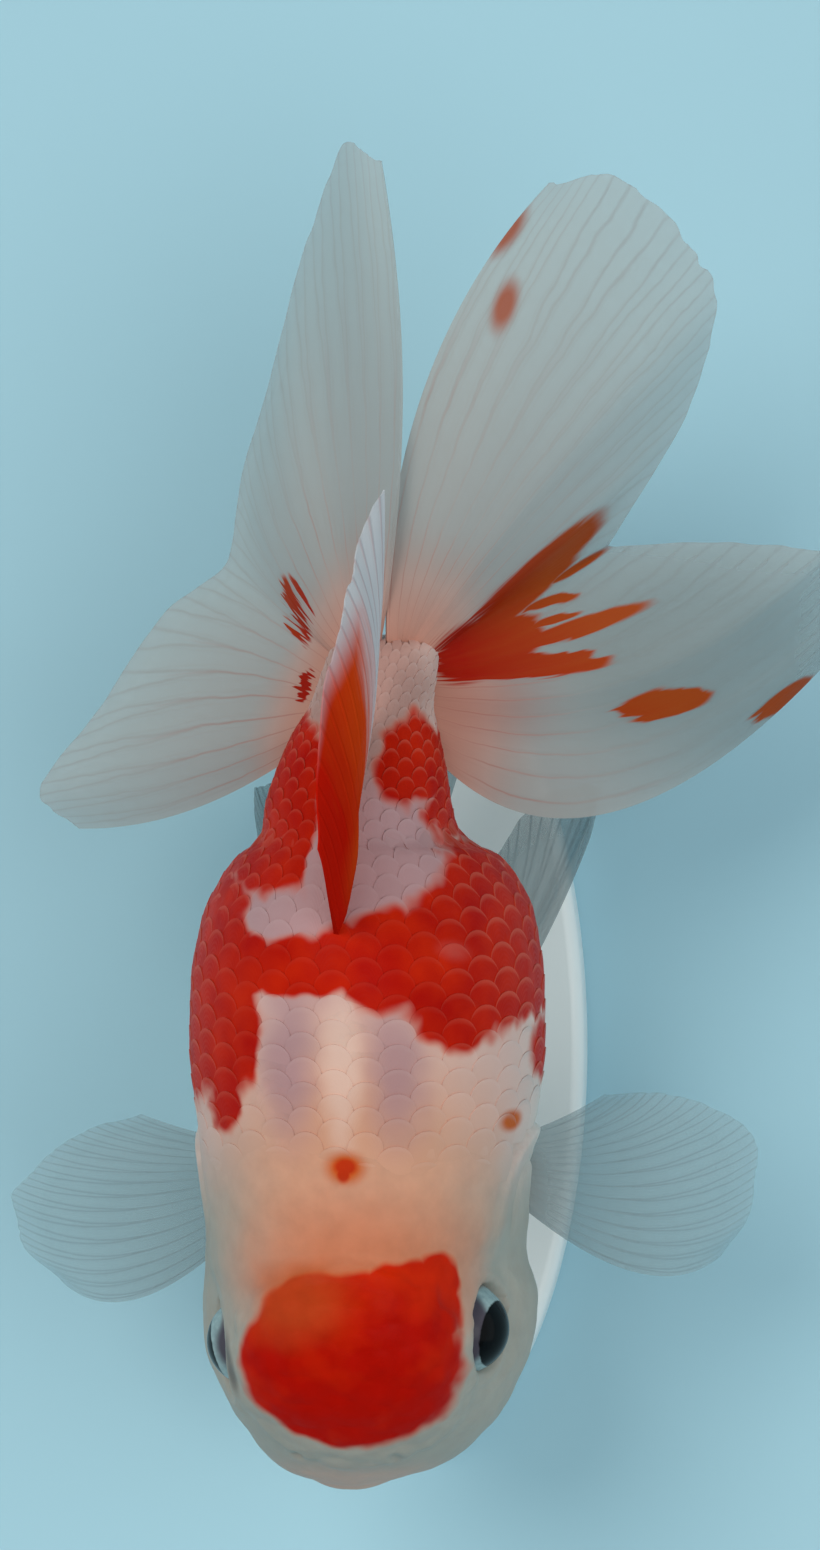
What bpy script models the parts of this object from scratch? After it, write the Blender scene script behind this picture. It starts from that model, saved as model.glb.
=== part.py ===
"""A hooded, twin-tailed fancy goldfish, life size, held still above a plain oval display stand.

The head points along -Y, the tail along +Y and the fish's left side along +X. Numbers are in
millimetres, and heights in the tables are measured from the fish's own axis.
"""

import math

import bpy

MM = 0.001
AXIS_HEIGHT = 48.0
GAP = 0.3
FIN_THICKNESS = 0.6
EDGE_CLEAR = 0.4
SIDE_CLEAR = 0.65
RING = 32

# The whole body as profiles along Y: half width, back, belly, height of the widest place,
# squareness of the section above and below it, and sideways bend of the centre line.
WIDTH = (
    (-42.5, 0.0), (-42.35, 1.6), (-42.0, 2.9), (-41.2, 5.6), (-40.4, 7.7), (-39.0, 9.8),
    (-37.0, 11.75), (-35.0, 13.5), (-32.0, 15.2), (-29.0, 16.2), (-24.0, 16.4), (-19.2, 15.9),
    (-14.0, 16.2), (-5.0, 17.25), (2.0, 17.95), (9.0, 17.8), (12.5, 17.25), (15.5, 16.6),
    (18.5, 15.1), (20.0, 14.1), (21.3, 12.7), (22.4, 10.6), (23.8, 9.85), (26.0, 9.45),
    (29.0, 8.75), (33.0, 7.5), (36.0, 6.3), (39.0, 6.0), (41.5, 5.7), (42.6, 4.2), (43.2, 0.0),
)
BACK = (
    (-42.5, -1.4), (-42.35, 1.0), (-41.8, 3.0), (-41.0, 5.4), (-39.0, 9.8), (-36.0, 14.0),
    (-32.0, 17.4), (-27.0, 19.6), (-20.0, 20.7), (-12.0, 21.8), (0.0, 24.6), (8.0, 25.9),
    (14.0, 25.2), (20.0, 22.6), (25.0, 19.8), (30.0, 17.2), (35.0, 15.2), (39.0, 14.6),
    (41.5, 14.4), (42.6, 12.6), (43.2, 7.2),
)
BELLY = (
    (-42.5, -1.4), (-42.35, -3.2), (-41.8, -4.8), (-41.0, -6.6), (-39.0, -9.8), (-36.0, -12.8),
    (-32.0, -15.2), (-27.0, -17.2), (-20.0, -19.3), (-12.0, -21.2), (0.0, -22.7), (8.0, -22.5),
    (13.0, -20.9), (17.0, -17.6), (20.0, -13.6), (23.0, -8.6), (26.0, -4.6), (30.0, -1.8),
    (35.0, -0.4), (39.0, -0.3), (41.5, -0.2), (42.6, 1.8), (43.2, 7.2),
)
WIDEST = (
    (-42.5, -1.4), (-39.0, -2.2), (-32.0, -3.2), (-26.0, -4.2), (-20.0, -4.4), (-12.0, -3.2),
    (0.0, -2.2), (10.0, -2.6), (17.0, -3.2), (20.0, -2.2), (22.5, 1.2), (25.0, 4.8),
    (30.0, 7.2), (43.2, 7.2),
)
SQUARE = ((-42.5, 2.0), (-36.0, 2.1), (-28.0, 2.35), (-14.0, 2.2), (5.0, 2.05), (20.0, 1.95),
          (30.0, 2.1), (43.2, 2.1))
CENTRE = (
    (-42.5, -2.1), (-41.2, -1.8), (-40.2, -1.15), (-38.8, -0.75), (-36.0, -0.5), (-30.0, -0.7),
    (-26.0, -0.55), (-23.0, -0.5), (-19.2, -0.8), (-15.0, -0.4), (-8.7, -0.4), (-5.0, -0.25),
    (14.0, -0.2), (19.0, -0.1), (21.3, 0.0), (22.6, -0.3), (26.0, -0.2), (28.5, 0.15),
    (33.0, 0.7), (41.0, 2.6), (43.2, 3.1),
)

HEAD_END = -8.5
STEM_START = 24.0

EYE_PLACES = {1: (9.75, -25.8, 6.4), -1: (-10.2, -27.2, 6.4)}
EYE_RADIUS = 4.9
ORBIT_DEPTH = 3.0
ORBIT_SPREAD = 4.6
CHEEK_SWELL = 0.6

HOOD_PLACE = (0.3, -28.9, 12.6)
HOOD_RADII = (11.4, 10.3)
HOOD_SLOPE = math.radians(24.0)
HOOD_SWELL = 0.8

GILL_PLACE = (-14.6, -3.6)
GILL_RADII = (8.2, 12.0)
GILL_INNER = 12.2

LIP_RADII = (5.0, 3.5)
LIP_CENTRE = -1.9
LIP_HEIGHT = -1.5
LIP_BACK = -38.8

# Each fin is a fan between a few named rays, front or outer ray first. A ray is the place where
# it leaves the body (Y, and degrees round the section), a point half way along, and its tip.
DORSAL = (
    ((13.4, 90.0), (0.6, 18.0, 36.0), (0.2, 22.0, 41.5)),
    ((18.0, 90.0), (1.8, 24.0, 34.5), (0.7, 29.5, 41.5)),
    ((22.3, 90.0), (2.8, 30.0, 32.0), (1.1, 39.0, 38.0)),
    ((26.0, 90.0), (3.4, 36.0, 28.0), (1.6, 45.0, 33.0)),
    ((29.0, 90.0), (3.8, 40.0, 24.5), (2.6, 50.0, 29.0)),
    ((31.6, 90.0), (4.0, 43.5, 21.5), (4.8, 57.0, 25.0)),
)
TAIL_UPPER_RIGHT = (
    ((42.3, 98.0), (6.0, 65.0, 22.0), (3.3, 90.0, 16.5)),
    ((42.6, 110.0), (2.0, 67.0, 17.5), (0.2, 91.5, 13.5)),
    ((42.6, 124.0), (-2.8, 63.0, 11.5), (-4.8, 83.0, 8.0)),
    ((42.4, 140.0), (-6.8, 56.0, 7.5), (-9.7, 68.0, 3.0)),
    ((42.0, 156.0), (-9.4, 50.5, 3.5), (-13.5, 59.0, -1.0)),
    ((41.4, 172.0), (-9.6, 46.6, 2.0), (-14.6, 50.8, -3.0)),
)
TAIL_UPPER_LEFT = (
    ((42.3, 82.0), (8.1, 66.5, 20.0), (20.3, 87.5, 15.0)),
    ((42.6, 70.0), (13.4, 65.0, 19.0), (25.5, 88.8, 14.0)),
    ((42.6, 56.0), (18.4, 62.0, 16.0), (33.5, 82.5, 10.0)),
    ((42.4, 40.0), (20.6, 58.5, 12.5), (35.6, 75.5, 7.0)),
    ((42.0, 24.0), (20.2, 53.0, 8.0), (32.5, 65.0, 3.0)),
    ((41.4, 8.0), (16.4, 46.6, 3.4), (24.6, 51.8, -0.6)),
)
TAIL_LOWER_RIGHT = (
    ((40.7, 175.0), (-9.8, 46.2, 1.6), (-14.8, 50.2, -3.4)),
    ((38.8, 182.0), (-12.8, 43.0, 0.6), (-21.2, 45.3, -4.4)),
    ((36.6, 190.0), (-16.8, 37.2, -1.2), (-29.2, 34.3, -8.0)),
    ((34.2, 198.0), (-20.3, 29.8, -4.0), (-36.2, 26.8, -12.0)),
    ((31.6, 206.0), (-19.2, 25.2, -6.0), (-32.2, 23.2, -13.0)),
)
TAIL_LOWER_LEFT = (
    ((40.7, 5.0), (16.2, 46.0, 3.0), (23.2, 50.0, -1.0)),
    ((38.8, -2.0), (22.3, 42.2, 0.0), (36.6, 52.2, -4.0)),
    ((36.6, -10.0), (27.1, 38.2, -2.0), (46.2, 51.5, -9.0)),
    ((34.0, -18.0), (26.8, 32.2, -5.0), (47.2, 46.4, -16.0)),
    ((30.6, -26.0), (23.6, 25.2, -7.4), (44.8, 41.0, -18.5)),
)
PECTORAL_LEFT = (
    ((-12.6, -47.0), (24.6, -21.4, -13.4), (34.4, -20.0, -14.0)),
    ((-11.8, -46.4), (26.0, -17.8, -12.8), (37.4, -14.8, -13.0)),
    ((-11.0, -45.8), (26.2, -13.4, -12.4), (38.2, -9.2, -12.0)),
    ((-10.2, -45.2), (24.6, -9.6, -12.2), (34.7, -5.0, -11.4)),
    ((-9.4, -44.6), (21.6, -7.6, -12.6), (28.4, -3.4, -12.4)),
    ((-8.6, -44.0), (17.8, -6.2, -13.6), (22.6, -3.6, -13.8)),
)
PECTORAL_RIGHT = (
    ((-13.6, 227.0), (-23.8, -24.2, -13.4), (-33.6, -23.2, -14.0)),
    ((-12.8, 226.4), (-25.8, -20.8, -12.8), (-37.8, -19.0, -13.0)),
    ((-12.0, 225.8), (-26.4, -16.2, -12.4), (-38.4, -14.2, -12.0)),
    ((-11.2, 225.2), (-25.0, -12.2, -12.2), (-35.4, -10.8, -11.4)),
    ((-10.4, 224.6), (-22.6, -9.6, -12.6), (-30.9, -7.6, -12.4)),
    ((-9.6, 224.0), (-19.2, -7.8, -13.6), (-25.4, -6.0, -13.8)),
)
PELVIC = (
    ((-1.6, -63.0), (14.4, 10.5, -26.6), (19.8, 22.5, -29.0)),
    ((-0.2, -65.0), (14.4, 12.8, -27.6), (20.8, 28.0, -30.0)),
    ((1.2, -67.0), (12.6, 13.8, -28.6), (16.4, 28.0, -31.5)),
    ((2.6, -69.0), (9.6, 12.5, -28.6), (10.6, 22.5, -32.0)),
    ((4.0, -71.0), (6.8, 10.5, -27.6), (7.0, 16.5, -31.0)),
)
ANAL = (
    ((19.4, -72.0), (6.0, 27.5, -21.0), (8.2, 36.5, -25.0)),
    ((21.2, -72.0), (6.2, 30.5, -17.2), (8.6, 40.0, -20.5)),
    ((23.0, -71.0), (6.0, 31.5, -13.2), (8.0, 39.5, -15.6)),
    ((24.8, -70.0), (5.6, 31.0, -9.2), (6.8, 36.5, -11.2)),
)

PELVIC_RIGHT_SPREAD = 0.78

BASE_RADII = (17.5, 43.0)
BASE_THICKNESS = 6.0
BASE_BEVEL = 1.2
ROD_RADIUS = 2.0
ROD_SOCKET = 4.0
ROD_PLACES = {"stand_rod_front": -5.0, "stand_rod_rear": 12.0}

RED = (0.52, 0.035, 0.012)
PEARL = (0.72, 0.56, 0.52)
PALE = (0.70, 0.66, 0.62)
FIN_WHITE = (0.66, 0.70, 0.70)


def clear_scene():
    for found in list(bpy.data.objects):
        bpy.data.objects.remove(found, do_unlink=True)


def slopes(table):
    """Tangents of a smooth curve through the table that never overshoots it."""
    steps = [(b[1] - a[1]) / (b[0] - a[0]) for a, b in zip(table, table[1:])]
    inner = [0.0 if p * q <= 0 else 2 * p * q / (p + q) for p, q in zip(steps, steps[1:])]
    return [steps[0], *inner, steps[-1]]


def along(table, y):
    """The value of a profile at y."""
    y = min(max(y, table[0][0]), table[-1][0])
    tangents = slopes(table)
    i = max(k for k in range(len(table) - 1) if table[k][0] <= y or k == 0)
    (y0, a), (y1, b) = table[i], table[i + 1]
    h = y1 - y0
    t = (y - y0) / h
    rise = h * (tangents[i] * t * (1 - t) ** 2 - tangents[i + 1] * t * t * (1 - t))
    return a * (1 + 2 * t) * (1 - t) ** 2 + b * t * t * (3 - 2 * t) + rise


def bump(distance, spread):
    return math.exp(-0.5 * (distance / spread) ** 2)


def flesh(y, angle):
    """A point of the body's surface: angle 0 is the fish's left, a quarter turn is the back."""
    cos, sin = math.cos(angle), math.sin(angle)
    power = 2.0 / along(SQUARE, y)
    widest = along(WIDEST, y)
    reach = along(BACK, y) - widest if sin > 0 else widest - along(BELLY, y)
    x = along(WIDTH, y) * math.copysign(abs(cos) ** power, cos)
    z = widest + reach * math.copysign(abs(sin) ** power, sin)
    eye = EYE_PLACES[1 if cos > 0 else -1]
    orbit = bump(math.hypot(y - eye[1], z - eye[2]), ORBIT_SPREAD)
    cheek = bump(math.hypot(y + 25.5, (z + 5.5) * 0.8), 4.0)
    side = min(1.0, abs(x) / 8.0)
    x += math.copysign(1.0, x) * side * (CHEEK_SWELL * cheek - ORBIT_DEPTH * orbit)
    hood = math.hypot((x - HOOD_PLACE[0]) / 11.4, (y + 29.0) / 10.0)
    if sin > 0:
        z += HOOD_SWELL * min(1.0, max(0.0, (1.15 - hood) / 0.3))
    return (x + along(CENTRE, y), y, z)


def stations():
    """Places of the rings along the body, close where the outline turns fast."""
    front = [-42.6 + 13.6 * (1 - math.cos(math.radians(a))) for a in (9, 20, 32, 45, 58, 71, 84)]
    head = [-26.4, -23.6, -20.6, -17.4, -14.0, -10.6, -7.0]
    trunk = [-3.0, 1.0, 5.0, 9.0, 12.5, 15.5, 18.0, 20.0, 21.6, 23.2]
    stem = [25.0, 27.4, 30.0, 33.0, 36.0, 39.0, 41.5, 42.6]
    return front + head + trunk + stem


def mesh_object(name, points, faces):
    mesh = bpy.data.meshes.new(name)
    mesh.from_pydata([[c * MM for c in p] for p in points], [], faces)
    made = bpy.data.objects.new(name, mesh)
    bpy.context.collection.objects.link(made)
    return made


def lift(point):
    return (point[0], point[1], point[2] + AXIS_HEIGHT)


def body_object(name):
    """The whole body, snout to tail root, as one closed loft."""
    ys = stations()
    turns = [2 * math.pi * (k + 0.5) / RING for k in range(RING)]
    points = [lift(flesh(y, a)) for y in ys for a in turns]
    points.append(lift((0.0, -42.6, -1.4)))
    points.append(lift((along(CENTRE, 43.2), 43.2, 7.2)))
    snout, tail = len(points) - 2, len(points) - 1
    faces = []
    for i in range(len(ys) - 1):
        for k in range(RING):
            m = (k + 1) % RING
            faces.append((i * RING + k, i * RING + m, (i + 1) * RING + m, (i + 1) * RING + k))
    last = (len(ys) - 1) * RING
    for k in range(RING):
        m = (k + 1) % RING
        faces.append((snout, m, k))
        faces.append((tail, last + k, last + m))
    made = mesh_object(name, points, [tuple(reversed(f)) for f in faces])
    made.data.shade_smooth()
    return made


def as_cutter(made):
    made.hide_render = True
    made.display_type = "WIRE"
    return made


def box_cell(name, low, high):
    middle = [(a + b) / 2 * MM for a, b in zip(low, high)]
    middle[2] += AXIS_HEIGHT * MM
    bpy.ops.mesh.primitive_cube_add(size=1.0, location=middle)
    made = bpy.context.object
    made.name = name
    made.scale = [(b - a) * MM for a, b in zip(low, high)]
    bpy.ops.object.transform_apply(location=True, rotation=True, scale=True)
    return as_cutter(made)


def ball(name, place, radius, segments, rings):
    x, y, z = lift(place)
    bpy.ops.mesh.primitive_uv_sphere_add(
        segments=segments, ring_count=rings, radius=radius * MM, location=(x * MM, y * MM, z * MM)
    )
    made = bpy.context.object
    made.name = name
    made.data.shade_smooth()
    return made


def drum(name, place, turn, radii, length, sides):
    """An elliptical cylinder with its foot at place, its length along its own turned Z axis."""
    x, y, z = lift(place)
    bpy.ops.mesh.primitive_cylinder_add(vertices=sides, radius=1.0, depth=1.0)
    made = bpy.context.object
    made.name = name
    for vertex in made.data.vertices:
        vertex.co.z += 0.5
    made.scale = (radii[0] * MM, radii[1] * MM, length * MM)
    bpy.ops.object.transform_apply(location=False, rotation=False, scale=True)
    made.rotation_euler = turn
    made.location = (x * MM, y * MM, z * MM)
    bpy.ops.object.transform_apply(location=True, rotation=True, scale=True)
    return made


def boolean(made, operation, cutter):
    modifier = made.modifiers.new(operation.lower(), "BOOLEAN")
    modifier.operation = operation
    modifier.solver = "EXACT"
    modifier.object = cutter


def material(name, colour, roughness, metallic=0.0):
    made = bpy.data.materials.new(name)
    made.use_nodes = True
    shader = made.node_tree.nodes["Principled BSDF"]
    shader.inputs["Base Color"].default_value = (*colour, 1.0)
    shader.inputs["Roughness"].default_value = roughness
    shader.inputs["Metallic"].default_value = metallic
    return made


def finish(made, colour, roughness, metallic=0.0):
    made.data.materials.clear()
    made.data.materials.append(material(made.name, colour, roughness, metallic))


def piece_of_flesh(name, keep, remove, colour):
    """The part of the body inside every keep cell and outside every remove cell."""
    made = body_object(name)
    for cutter in keep:
        boolean(made, "INTERSECT", cutter)
    for cutter in remove:
        boolean(made, "DIFFERENCE", cutter)
    finish(made, colour, 0.4)


def hood_cell(name, grow):
    """The thick pad on top of the head lies above a plane that slopes down to the snout."""
    place = (HOOD_PLACE[0], HOOD_PLACE[1] + grow * 0.4, HOOD_PLACE[2] - grow)
    radii = (HOOD_RADII[0] + grow, HOOD_RADII[1] + grow)
    return as_cutter(drum(name, place, (HOOD_SLOPE, 0.0, 0.0), radii, 16.0, 32))


def gill_cell(name, side, grow):
    place = (side * (GILL_INNER - grow), GILL_PLACE[0], GILL_PLACE[1])
    radii = (GILL_RADII[1] + grow, GILL_RADII[0] + grow)
    turn = (0.0, side * math.pi / 2, 0.0)
    return as_cutter(drum(name, place, turn, radii, 14.0, 32))


def lip_cell(name, grow):
    place = (LIP_CENTRE, LIP_BACK + grow, LIP_HEIGHT)
    radii = (LIP_RADII[0] + grow, LIP_RADII[1] + grow)
    return as_cutter(drum(name, place, (math.pi / 2, 0.0, 0.0), radii, 12.0, 24))


def build_eyes():
    for side, label in ((1, "left"), (-1, "right")):
        made = ball(f"eye_{label}", EYE_PLACES[side], EYE_RADIUS, 20, 12)
        finish(made, (0.05, 0.05, 0.07), 0.08)


def build_body():
    half = GAP / 2
    head = box_cell("cell_head", (-40, -60, -40), (40, HEAD_END - half, 60))
    trunk = box_cell("cell_trunk", (-40, HEAD_END + half, -40), (40, STEM_START - half, 60))
    stem = box_cell("cell_stem", (-40, STEM_START + half, -40), (40, 60, 60))
    above = box_cell("cell_above_mouth", (-20, -60, LIP_HEIGHT + half), (20, -20, 20))
    below = box_cell("cell_below_mouth", (-20, -60, -20), (20, -20, LIP_HEIGHT - half))
    hood, hood_gap = hood_cell("cell_hood", 0.0), hood_cell("cell_hood_gap", GAP)
    lips, lips_gap = lip_cell("cell_lips", 0.0), lip_cell("cell_lips_gap", GAP)
    gills = {side: gill_cell(f"cell_gill_{side}", side, 0.0) for side in (1, -1)}
    gill_gaps = [gill_cell(f"cell_gill_gap_{side}", side, GAP) for side in (1, -1)]
    sockets = [
        as_cutter(ball(f"cell_eye_{side}", EYE_PLACES[side], EYE_RADIUS + GAP, 20, 12))
        for side in (1, -1)
    ]
    piece_of_flesh("head", [head], [hood_gap, lips_gap, *gill_gaps, *sockets], PALE)
    piece_of_flesh("hood", [hood], sockets, RED)
    piece_of_flesh("upper_lip", [lips, above], [], PALE)
    piece_of_flesh("lower_lip", [lips, below], [], PALE)
    piece_of_flesh("gill_cover_left", [gills[1]], sockets, PALE)
    piece_of_flesh("gill_cover_right", [gills[-1]], sockets, PALE)
    piece_of_flesh("trunk", [trunk], gill_gaps, PEARL)
    piece_of_flesh("tail_stem", [stem], [], RED)


def off_body(y, degrees, clear):
    """A point just clear of the body's surface, out along its normal."""
    angle = math.radians(degrees)
    here = flesh(y, angle)
    round_ = [b - a for a, b in zip(flesh(y, angle - 0.02), flesh(y, angle + 0.02))]
    length = [b - a for a, b in zip(flesh(y - 0.1, angle), flesh(min(y + 0.1, 43.0), angle))]
    normal = (
        length[1] * round_[2] - length[2] * round_[1],
        length[2] * round_[0] - length[0] * round_[2],
        length[0] * round_[1] - length[1] * round_[0],
    )
    size = math.sqrt(sum(c * c for c in normal))
    return [p + clear * c / size for p, c in zip(here, normal)]


def ray_at(rays, u, clear):
    """The root, middle and tip of the ray that lies a share u of the way across a fin."""
    where = u * (len(rays) - 1)
    places = range(len(rays))

    def between(part, axis):
        return along([(k, rays[k][part][axis]) for k in places], where)

    root = off_body(between(0, 0), between(0, 1), clear)
    return root, [between(1, axis) for axis in range(3)], [between(2, axis) for axis in range(3)]


def ray_point(ray, t):
    """A smooth curve through a ray's three points."""
    a = (1 - t) * (1 - 2 * t)
    b = 4 * t * (1 - t)
    c = t * (2 * t - 1)
    return [a * p + b * q + c * r for p, q, r in zip(*ray)]


def held_closer(rays, share):
    """The same fin with its middle and tip brought in towards the midline."""
    return [(root, *((x * share, y, z) for x, y, z in others)) for root, *others in rays]


def fin(name, rays, across, steps, clear, side=1):
    """A fin as a thin solid: a fan of rays, thickened evenly."""
    points = []
    for i in range(across + 1):
        ray = ray_at(rays, i / across, clear)
        for j in range(steps + 1):
            x, y, z = ray_point(ray, j / steps)
            points.append(lift((side * x, y, z)))
    row = steps + 1
    faces = [
        (i * row + j, (i + 1) * row + j, (i + 1) * row + j + 1, i * row + j + 1)
        for i in range(across)
        for j in range(steps)
    ]
    made = mesh_object(name, points, faces)
    made.data.shade_smooth()
    thicken = made.modifiers.new("thickness", "SOLIDIFY")
    thicken.thickness = FIN_THICKNESS * MM
    thicken.offset = 0.0
    finish(made, RED if name == "dorsal_fin" else FIN_WHITE, 0.35)


def build_fins():
    fin("dorsal_fin", DORSAL, 11, 6, EDGE_CLEAR)
    fin("tail_fin_upper_right", TAIL_UPPER_RIGHT, 11, 8, SIDE_CLEAR)
    fin("tail_fin_upper_left", TAIL_UPPER_LEFT, 11, 8, SIDE_CLEAR)
    fin("tail_fin_lower_right", TAIL_LOWER_RIGHT, 10, 8, SIDE_CLEAR)
    fin("tail_fin_lower_left", TAIL_LOWER_LEFT, 10, 8, SIDE_CLEAR)
    fin("pectoral_fin_left", PECTORAL_LEFT, 10, 6, EDGE_CLEAR)
    fin("pectoral_fin_right", PECTORAL_RIGHT, 10, 6, EDGE_CLEAR)
    for side, label in ((1, "left"), (-1, "right")):
        pelvic = held_closer(PELVIC, 1.0 if side > 0 else PELVIC_RIGHT_SPREAD)
        fin(f"pelvic_fin_{label}", pelvic, 8, 6, SIDE_CLEAR, side)
        fin(f"anal_fin_{label}", ANAL, 6, 5, EDGE_CLEAR, side)


def standing(made):
    """Stand parts are placed by their height above the ground, not from the fish's axis."""
    for vertex in made.data.vertices:
        vertex.co.z -= AXIS_HEIGHT * MM
    return made


def build_stand():
    base = standing(drum("stand_base", (0, 0, 0), (0, 0, 0), BASE_RADII, BASE_THICKNESS, 48))
    edge = base.modifiers.new("edge", "BEVEL")
    edge.width = BASE_BEVEL * MM
    edge.segments = 2
    edge.limit_method = "ANGLE"
    foot = BASE_THICKNESS - ROD_SOCKET
    for name, y in ROD_PLACES.items():
        hole_radius = ROD_RADIUS + GAP
        hole = drum(f"hole_{name}", (0, y, foot), (0, 0, 0), (hole_radius,) * 2, 10.0, 24)
        boolean(base, "DIFFERENCE", as_cutter(standing(hole)))
        top = AXIS_HEIGHT + along(BELLY, y) - GAP - 0.4
        length = top - foot - GAP
        rod = drum(name, (0, y, foot + GAP), (0, 0, 0), (ROD_RADIUS,) * 2, length, 24)
        standing(rod).data.shade_smooth()
        finish(rod, (0.62, 0.63, 0.65), 0.28, 1.0)
    finish(base, (0.74, 0.78, 0.80), 0.35)


clear_scene()
build_body()
build_eyes()
build_fins()
build_stand()
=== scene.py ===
"""A hooded, twin-tailed goldfish held still above a plain oval stand.

One skin covers the head, the trunk and the root of the tail. A coat of thin overlapping scales
lies over it from the gill covers to the tail, and both carry the same red, white and peach
markings. The fins are thin webs over branching rays, and the eyes are glassy balls set in soft rims.
The head points along -Y and the fish's left side along +X. Tables and shape functions are in
millimetres, and their heights are measured from the fish's own axis.
"""

import math

import bmesh
import bpy
import numpy as np
from mathutils import Matrix, Vector, noise


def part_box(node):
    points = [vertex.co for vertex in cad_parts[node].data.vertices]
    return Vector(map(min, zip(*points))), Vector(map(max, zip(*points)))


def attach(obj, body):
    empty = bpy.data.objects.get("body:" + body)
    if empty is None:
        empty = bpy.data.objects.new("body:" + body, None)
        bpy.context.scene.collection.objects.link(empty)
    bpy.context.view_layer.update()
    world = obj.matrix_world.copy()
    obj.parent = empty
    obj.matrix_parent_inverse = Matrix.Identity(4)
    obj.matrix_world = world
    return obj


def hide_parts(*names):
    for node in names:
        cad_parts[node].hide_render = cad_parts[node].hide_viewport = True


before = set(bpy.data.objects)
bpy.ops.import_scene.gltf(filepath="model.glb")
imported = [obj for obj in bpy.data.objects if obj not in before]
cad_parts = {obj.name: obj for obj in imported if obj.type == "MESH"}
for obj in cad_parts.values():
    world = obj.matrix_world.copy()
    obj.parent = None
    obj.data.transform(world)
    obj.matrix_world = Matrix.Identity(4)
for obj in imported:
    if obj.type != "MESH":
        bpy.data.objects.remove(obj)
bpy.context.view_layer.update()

MM = 0.001

# The whole body as profiles along Y: half width, back, belly, height of the widest place,
# squareness of the section above and below it, and sideways bend of the centre line.
WIDTH = (
    (-42.5, 0.0), (-42.35, 1.6), (-42.0, 2.9), (-41.2, 5.6), (-40.4, 7.7), (-39.0, 9.8),
    (-37.0, 11.75), (-35.0, 13.5), (-32.0, 15.2), (-29.0, 16.2), (-24.0, 16.4), (-19.2, 15.9),
    (-14.0, 16.2), (-5.0, 17.25), (2.0, 17.95), (9.0, 17.8), (12.5, 17.25), (15.5, 16.6),
    (18.5, 15.1), (20.0, 14.1), (21.3, 12.7), (22.4, 10.6), (23.8, 9.85), (26.0, 9.45),
    (29.0, 8.75), (33.0, 7.5), (36.0, 6.3), (39.0, 6.0), (41.5, 5.7), (42.6, 4.2), (43.2, 0.0),
)
BACK = (
    (-42.5, -1.4), (-42.35, 1.0), (-41.8, 3.0), (-41.0, 5.4), (-39.0, 9.8), (-36.0, 14.0),
    (-32.0, 17.4), (-27.0, 19.6), (-20.0, 20.7), (-12.0, 21.8), (0.0, 24.6), (8.0, 25.9),
    (14.0, 25.2), (20.0, 22.6), (25.0, 19.8), (30.0, 17.2), (35.0, 15.2), (39.0, 14.4),
    (41.0, 13.5), (42.4, 11.4), (43.2, 7.2),
)
BELLY = (
    (-42.5, -1.4), (-42.35, -3.2), (-41.8, -4.8), (-41.0, -6.6), (-39.0, -9.8), (-36.0, -12.8),
    (-32.0, -15.2), (-27.0, -17.2), (-20.0, -19.3), (-12.0, -21.2), (0.0, -22.7), (8.0, -22.5),
    (13.0, -20.9), (17.0, -17.6), (20.0, -13.6), (23.0, -8.6), (26.0, -4.6), (30.0, -1.8),
    (35.0, -0.4), (39.0, -0.1), (41.0, 0.7), (42.4, 2.8), (43.2, 7.2),
)
WIDEST = (
    (-42.5, -1.4), (-39.0, -2.2), (-32.0, -3.2), (-26.0, -4.2), (-20.0, -4.4), (-12.0, -3.2),
    (0.0, -2.2), (10.0, -2.6), (17.0, -3.2), (20.0, -2.2), (22.5, 1.2), (25.0, 4.8),
    (30.0, 7.2), (43.2, 7.2),
)
SQUARE = ((-42.5, 2.0), (-36.0, 2.1), (-28.0, 2.35), (-14.0, 2.2), (5.0, 2.05), (20.0, 1.95),
          (30.0, 2.1), (43.2, 2.1))
CENTRE = (
    (-42.5, -2.1), (-41.2, -1.8), (-40.2, -1.15), (-38.8, -0.75), (-36.0, -0.5), (-30.0, -0.7),
    (-26.0, -0.55), (-23.0, -0.5), (-19.2, -0.8), (-15.0, -0.4), (-8.7, -0.4), (-5.0, -0.25),
    (14.0, -0.2), (19.0, -0.1), (21.3, 0.0), (22.6, -0.3), (26.0, -0.2), (28.5, 0.15),
    (33.0, 0.7), (41.0, 2.6), (43.2, 3.1),
)

# Places and sizes on the head. Here and below, key 1 is the fish's left side and -1 its right.
# The hood is placed across and along the body, cheeks and gill covers along it and up, and the
# mouth across and up.
EYE_PLACES = {1: (9.75, -25.8, 6.4), -1: (-10.2, -27.2, 6.4)}
EYE_RADIUS, CORNEA_BULGE, IRIS_GROOVE = 4.9, 0.30, 0.10
ORBIT_DEPTH = 3.0
ORBIT_SPREAD = 4.6
CHEEK_PLACE, CHEEK_SPREAD, CHEEK_SWELL = (-25.5, -5.5), 4.0, 0.6
HOOD_PLACE = (0.3, -29.0)
HOOD_RADII = (11.4, 10.0)
HOOD_SWELL = 0.8
GILL_PLACE = (-14.6, -3.6)
GILL_RADII = (8.2, 12.0)
MOUTH_PLACE = (-1.9, -1.4)

# Height of the fish's axis above the ground, read from the frame's own eye.
AXIS = sum(corner.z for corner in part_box("eye_left")) / 2 / MM - EYE_PLACES[1][2]

# The skin's grid, and how much finer it is ahead of HEAD_END.
SKIN_ROUND, SKIN_RINGS = 240, 300
HEAD_END = -8.5
HEAD_FINENESS = 2.4

# The skin's relief. Rims are given as distance from the middle of the eye, height and spread.
EYE_RIM, EYE_FOLD = (5.3, 0.36, 0.55), (7.0, 0.15, 0.6)
SOCKET_SIZE, SOCKET_HOLLOW = 4.6, 1.5
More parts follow.
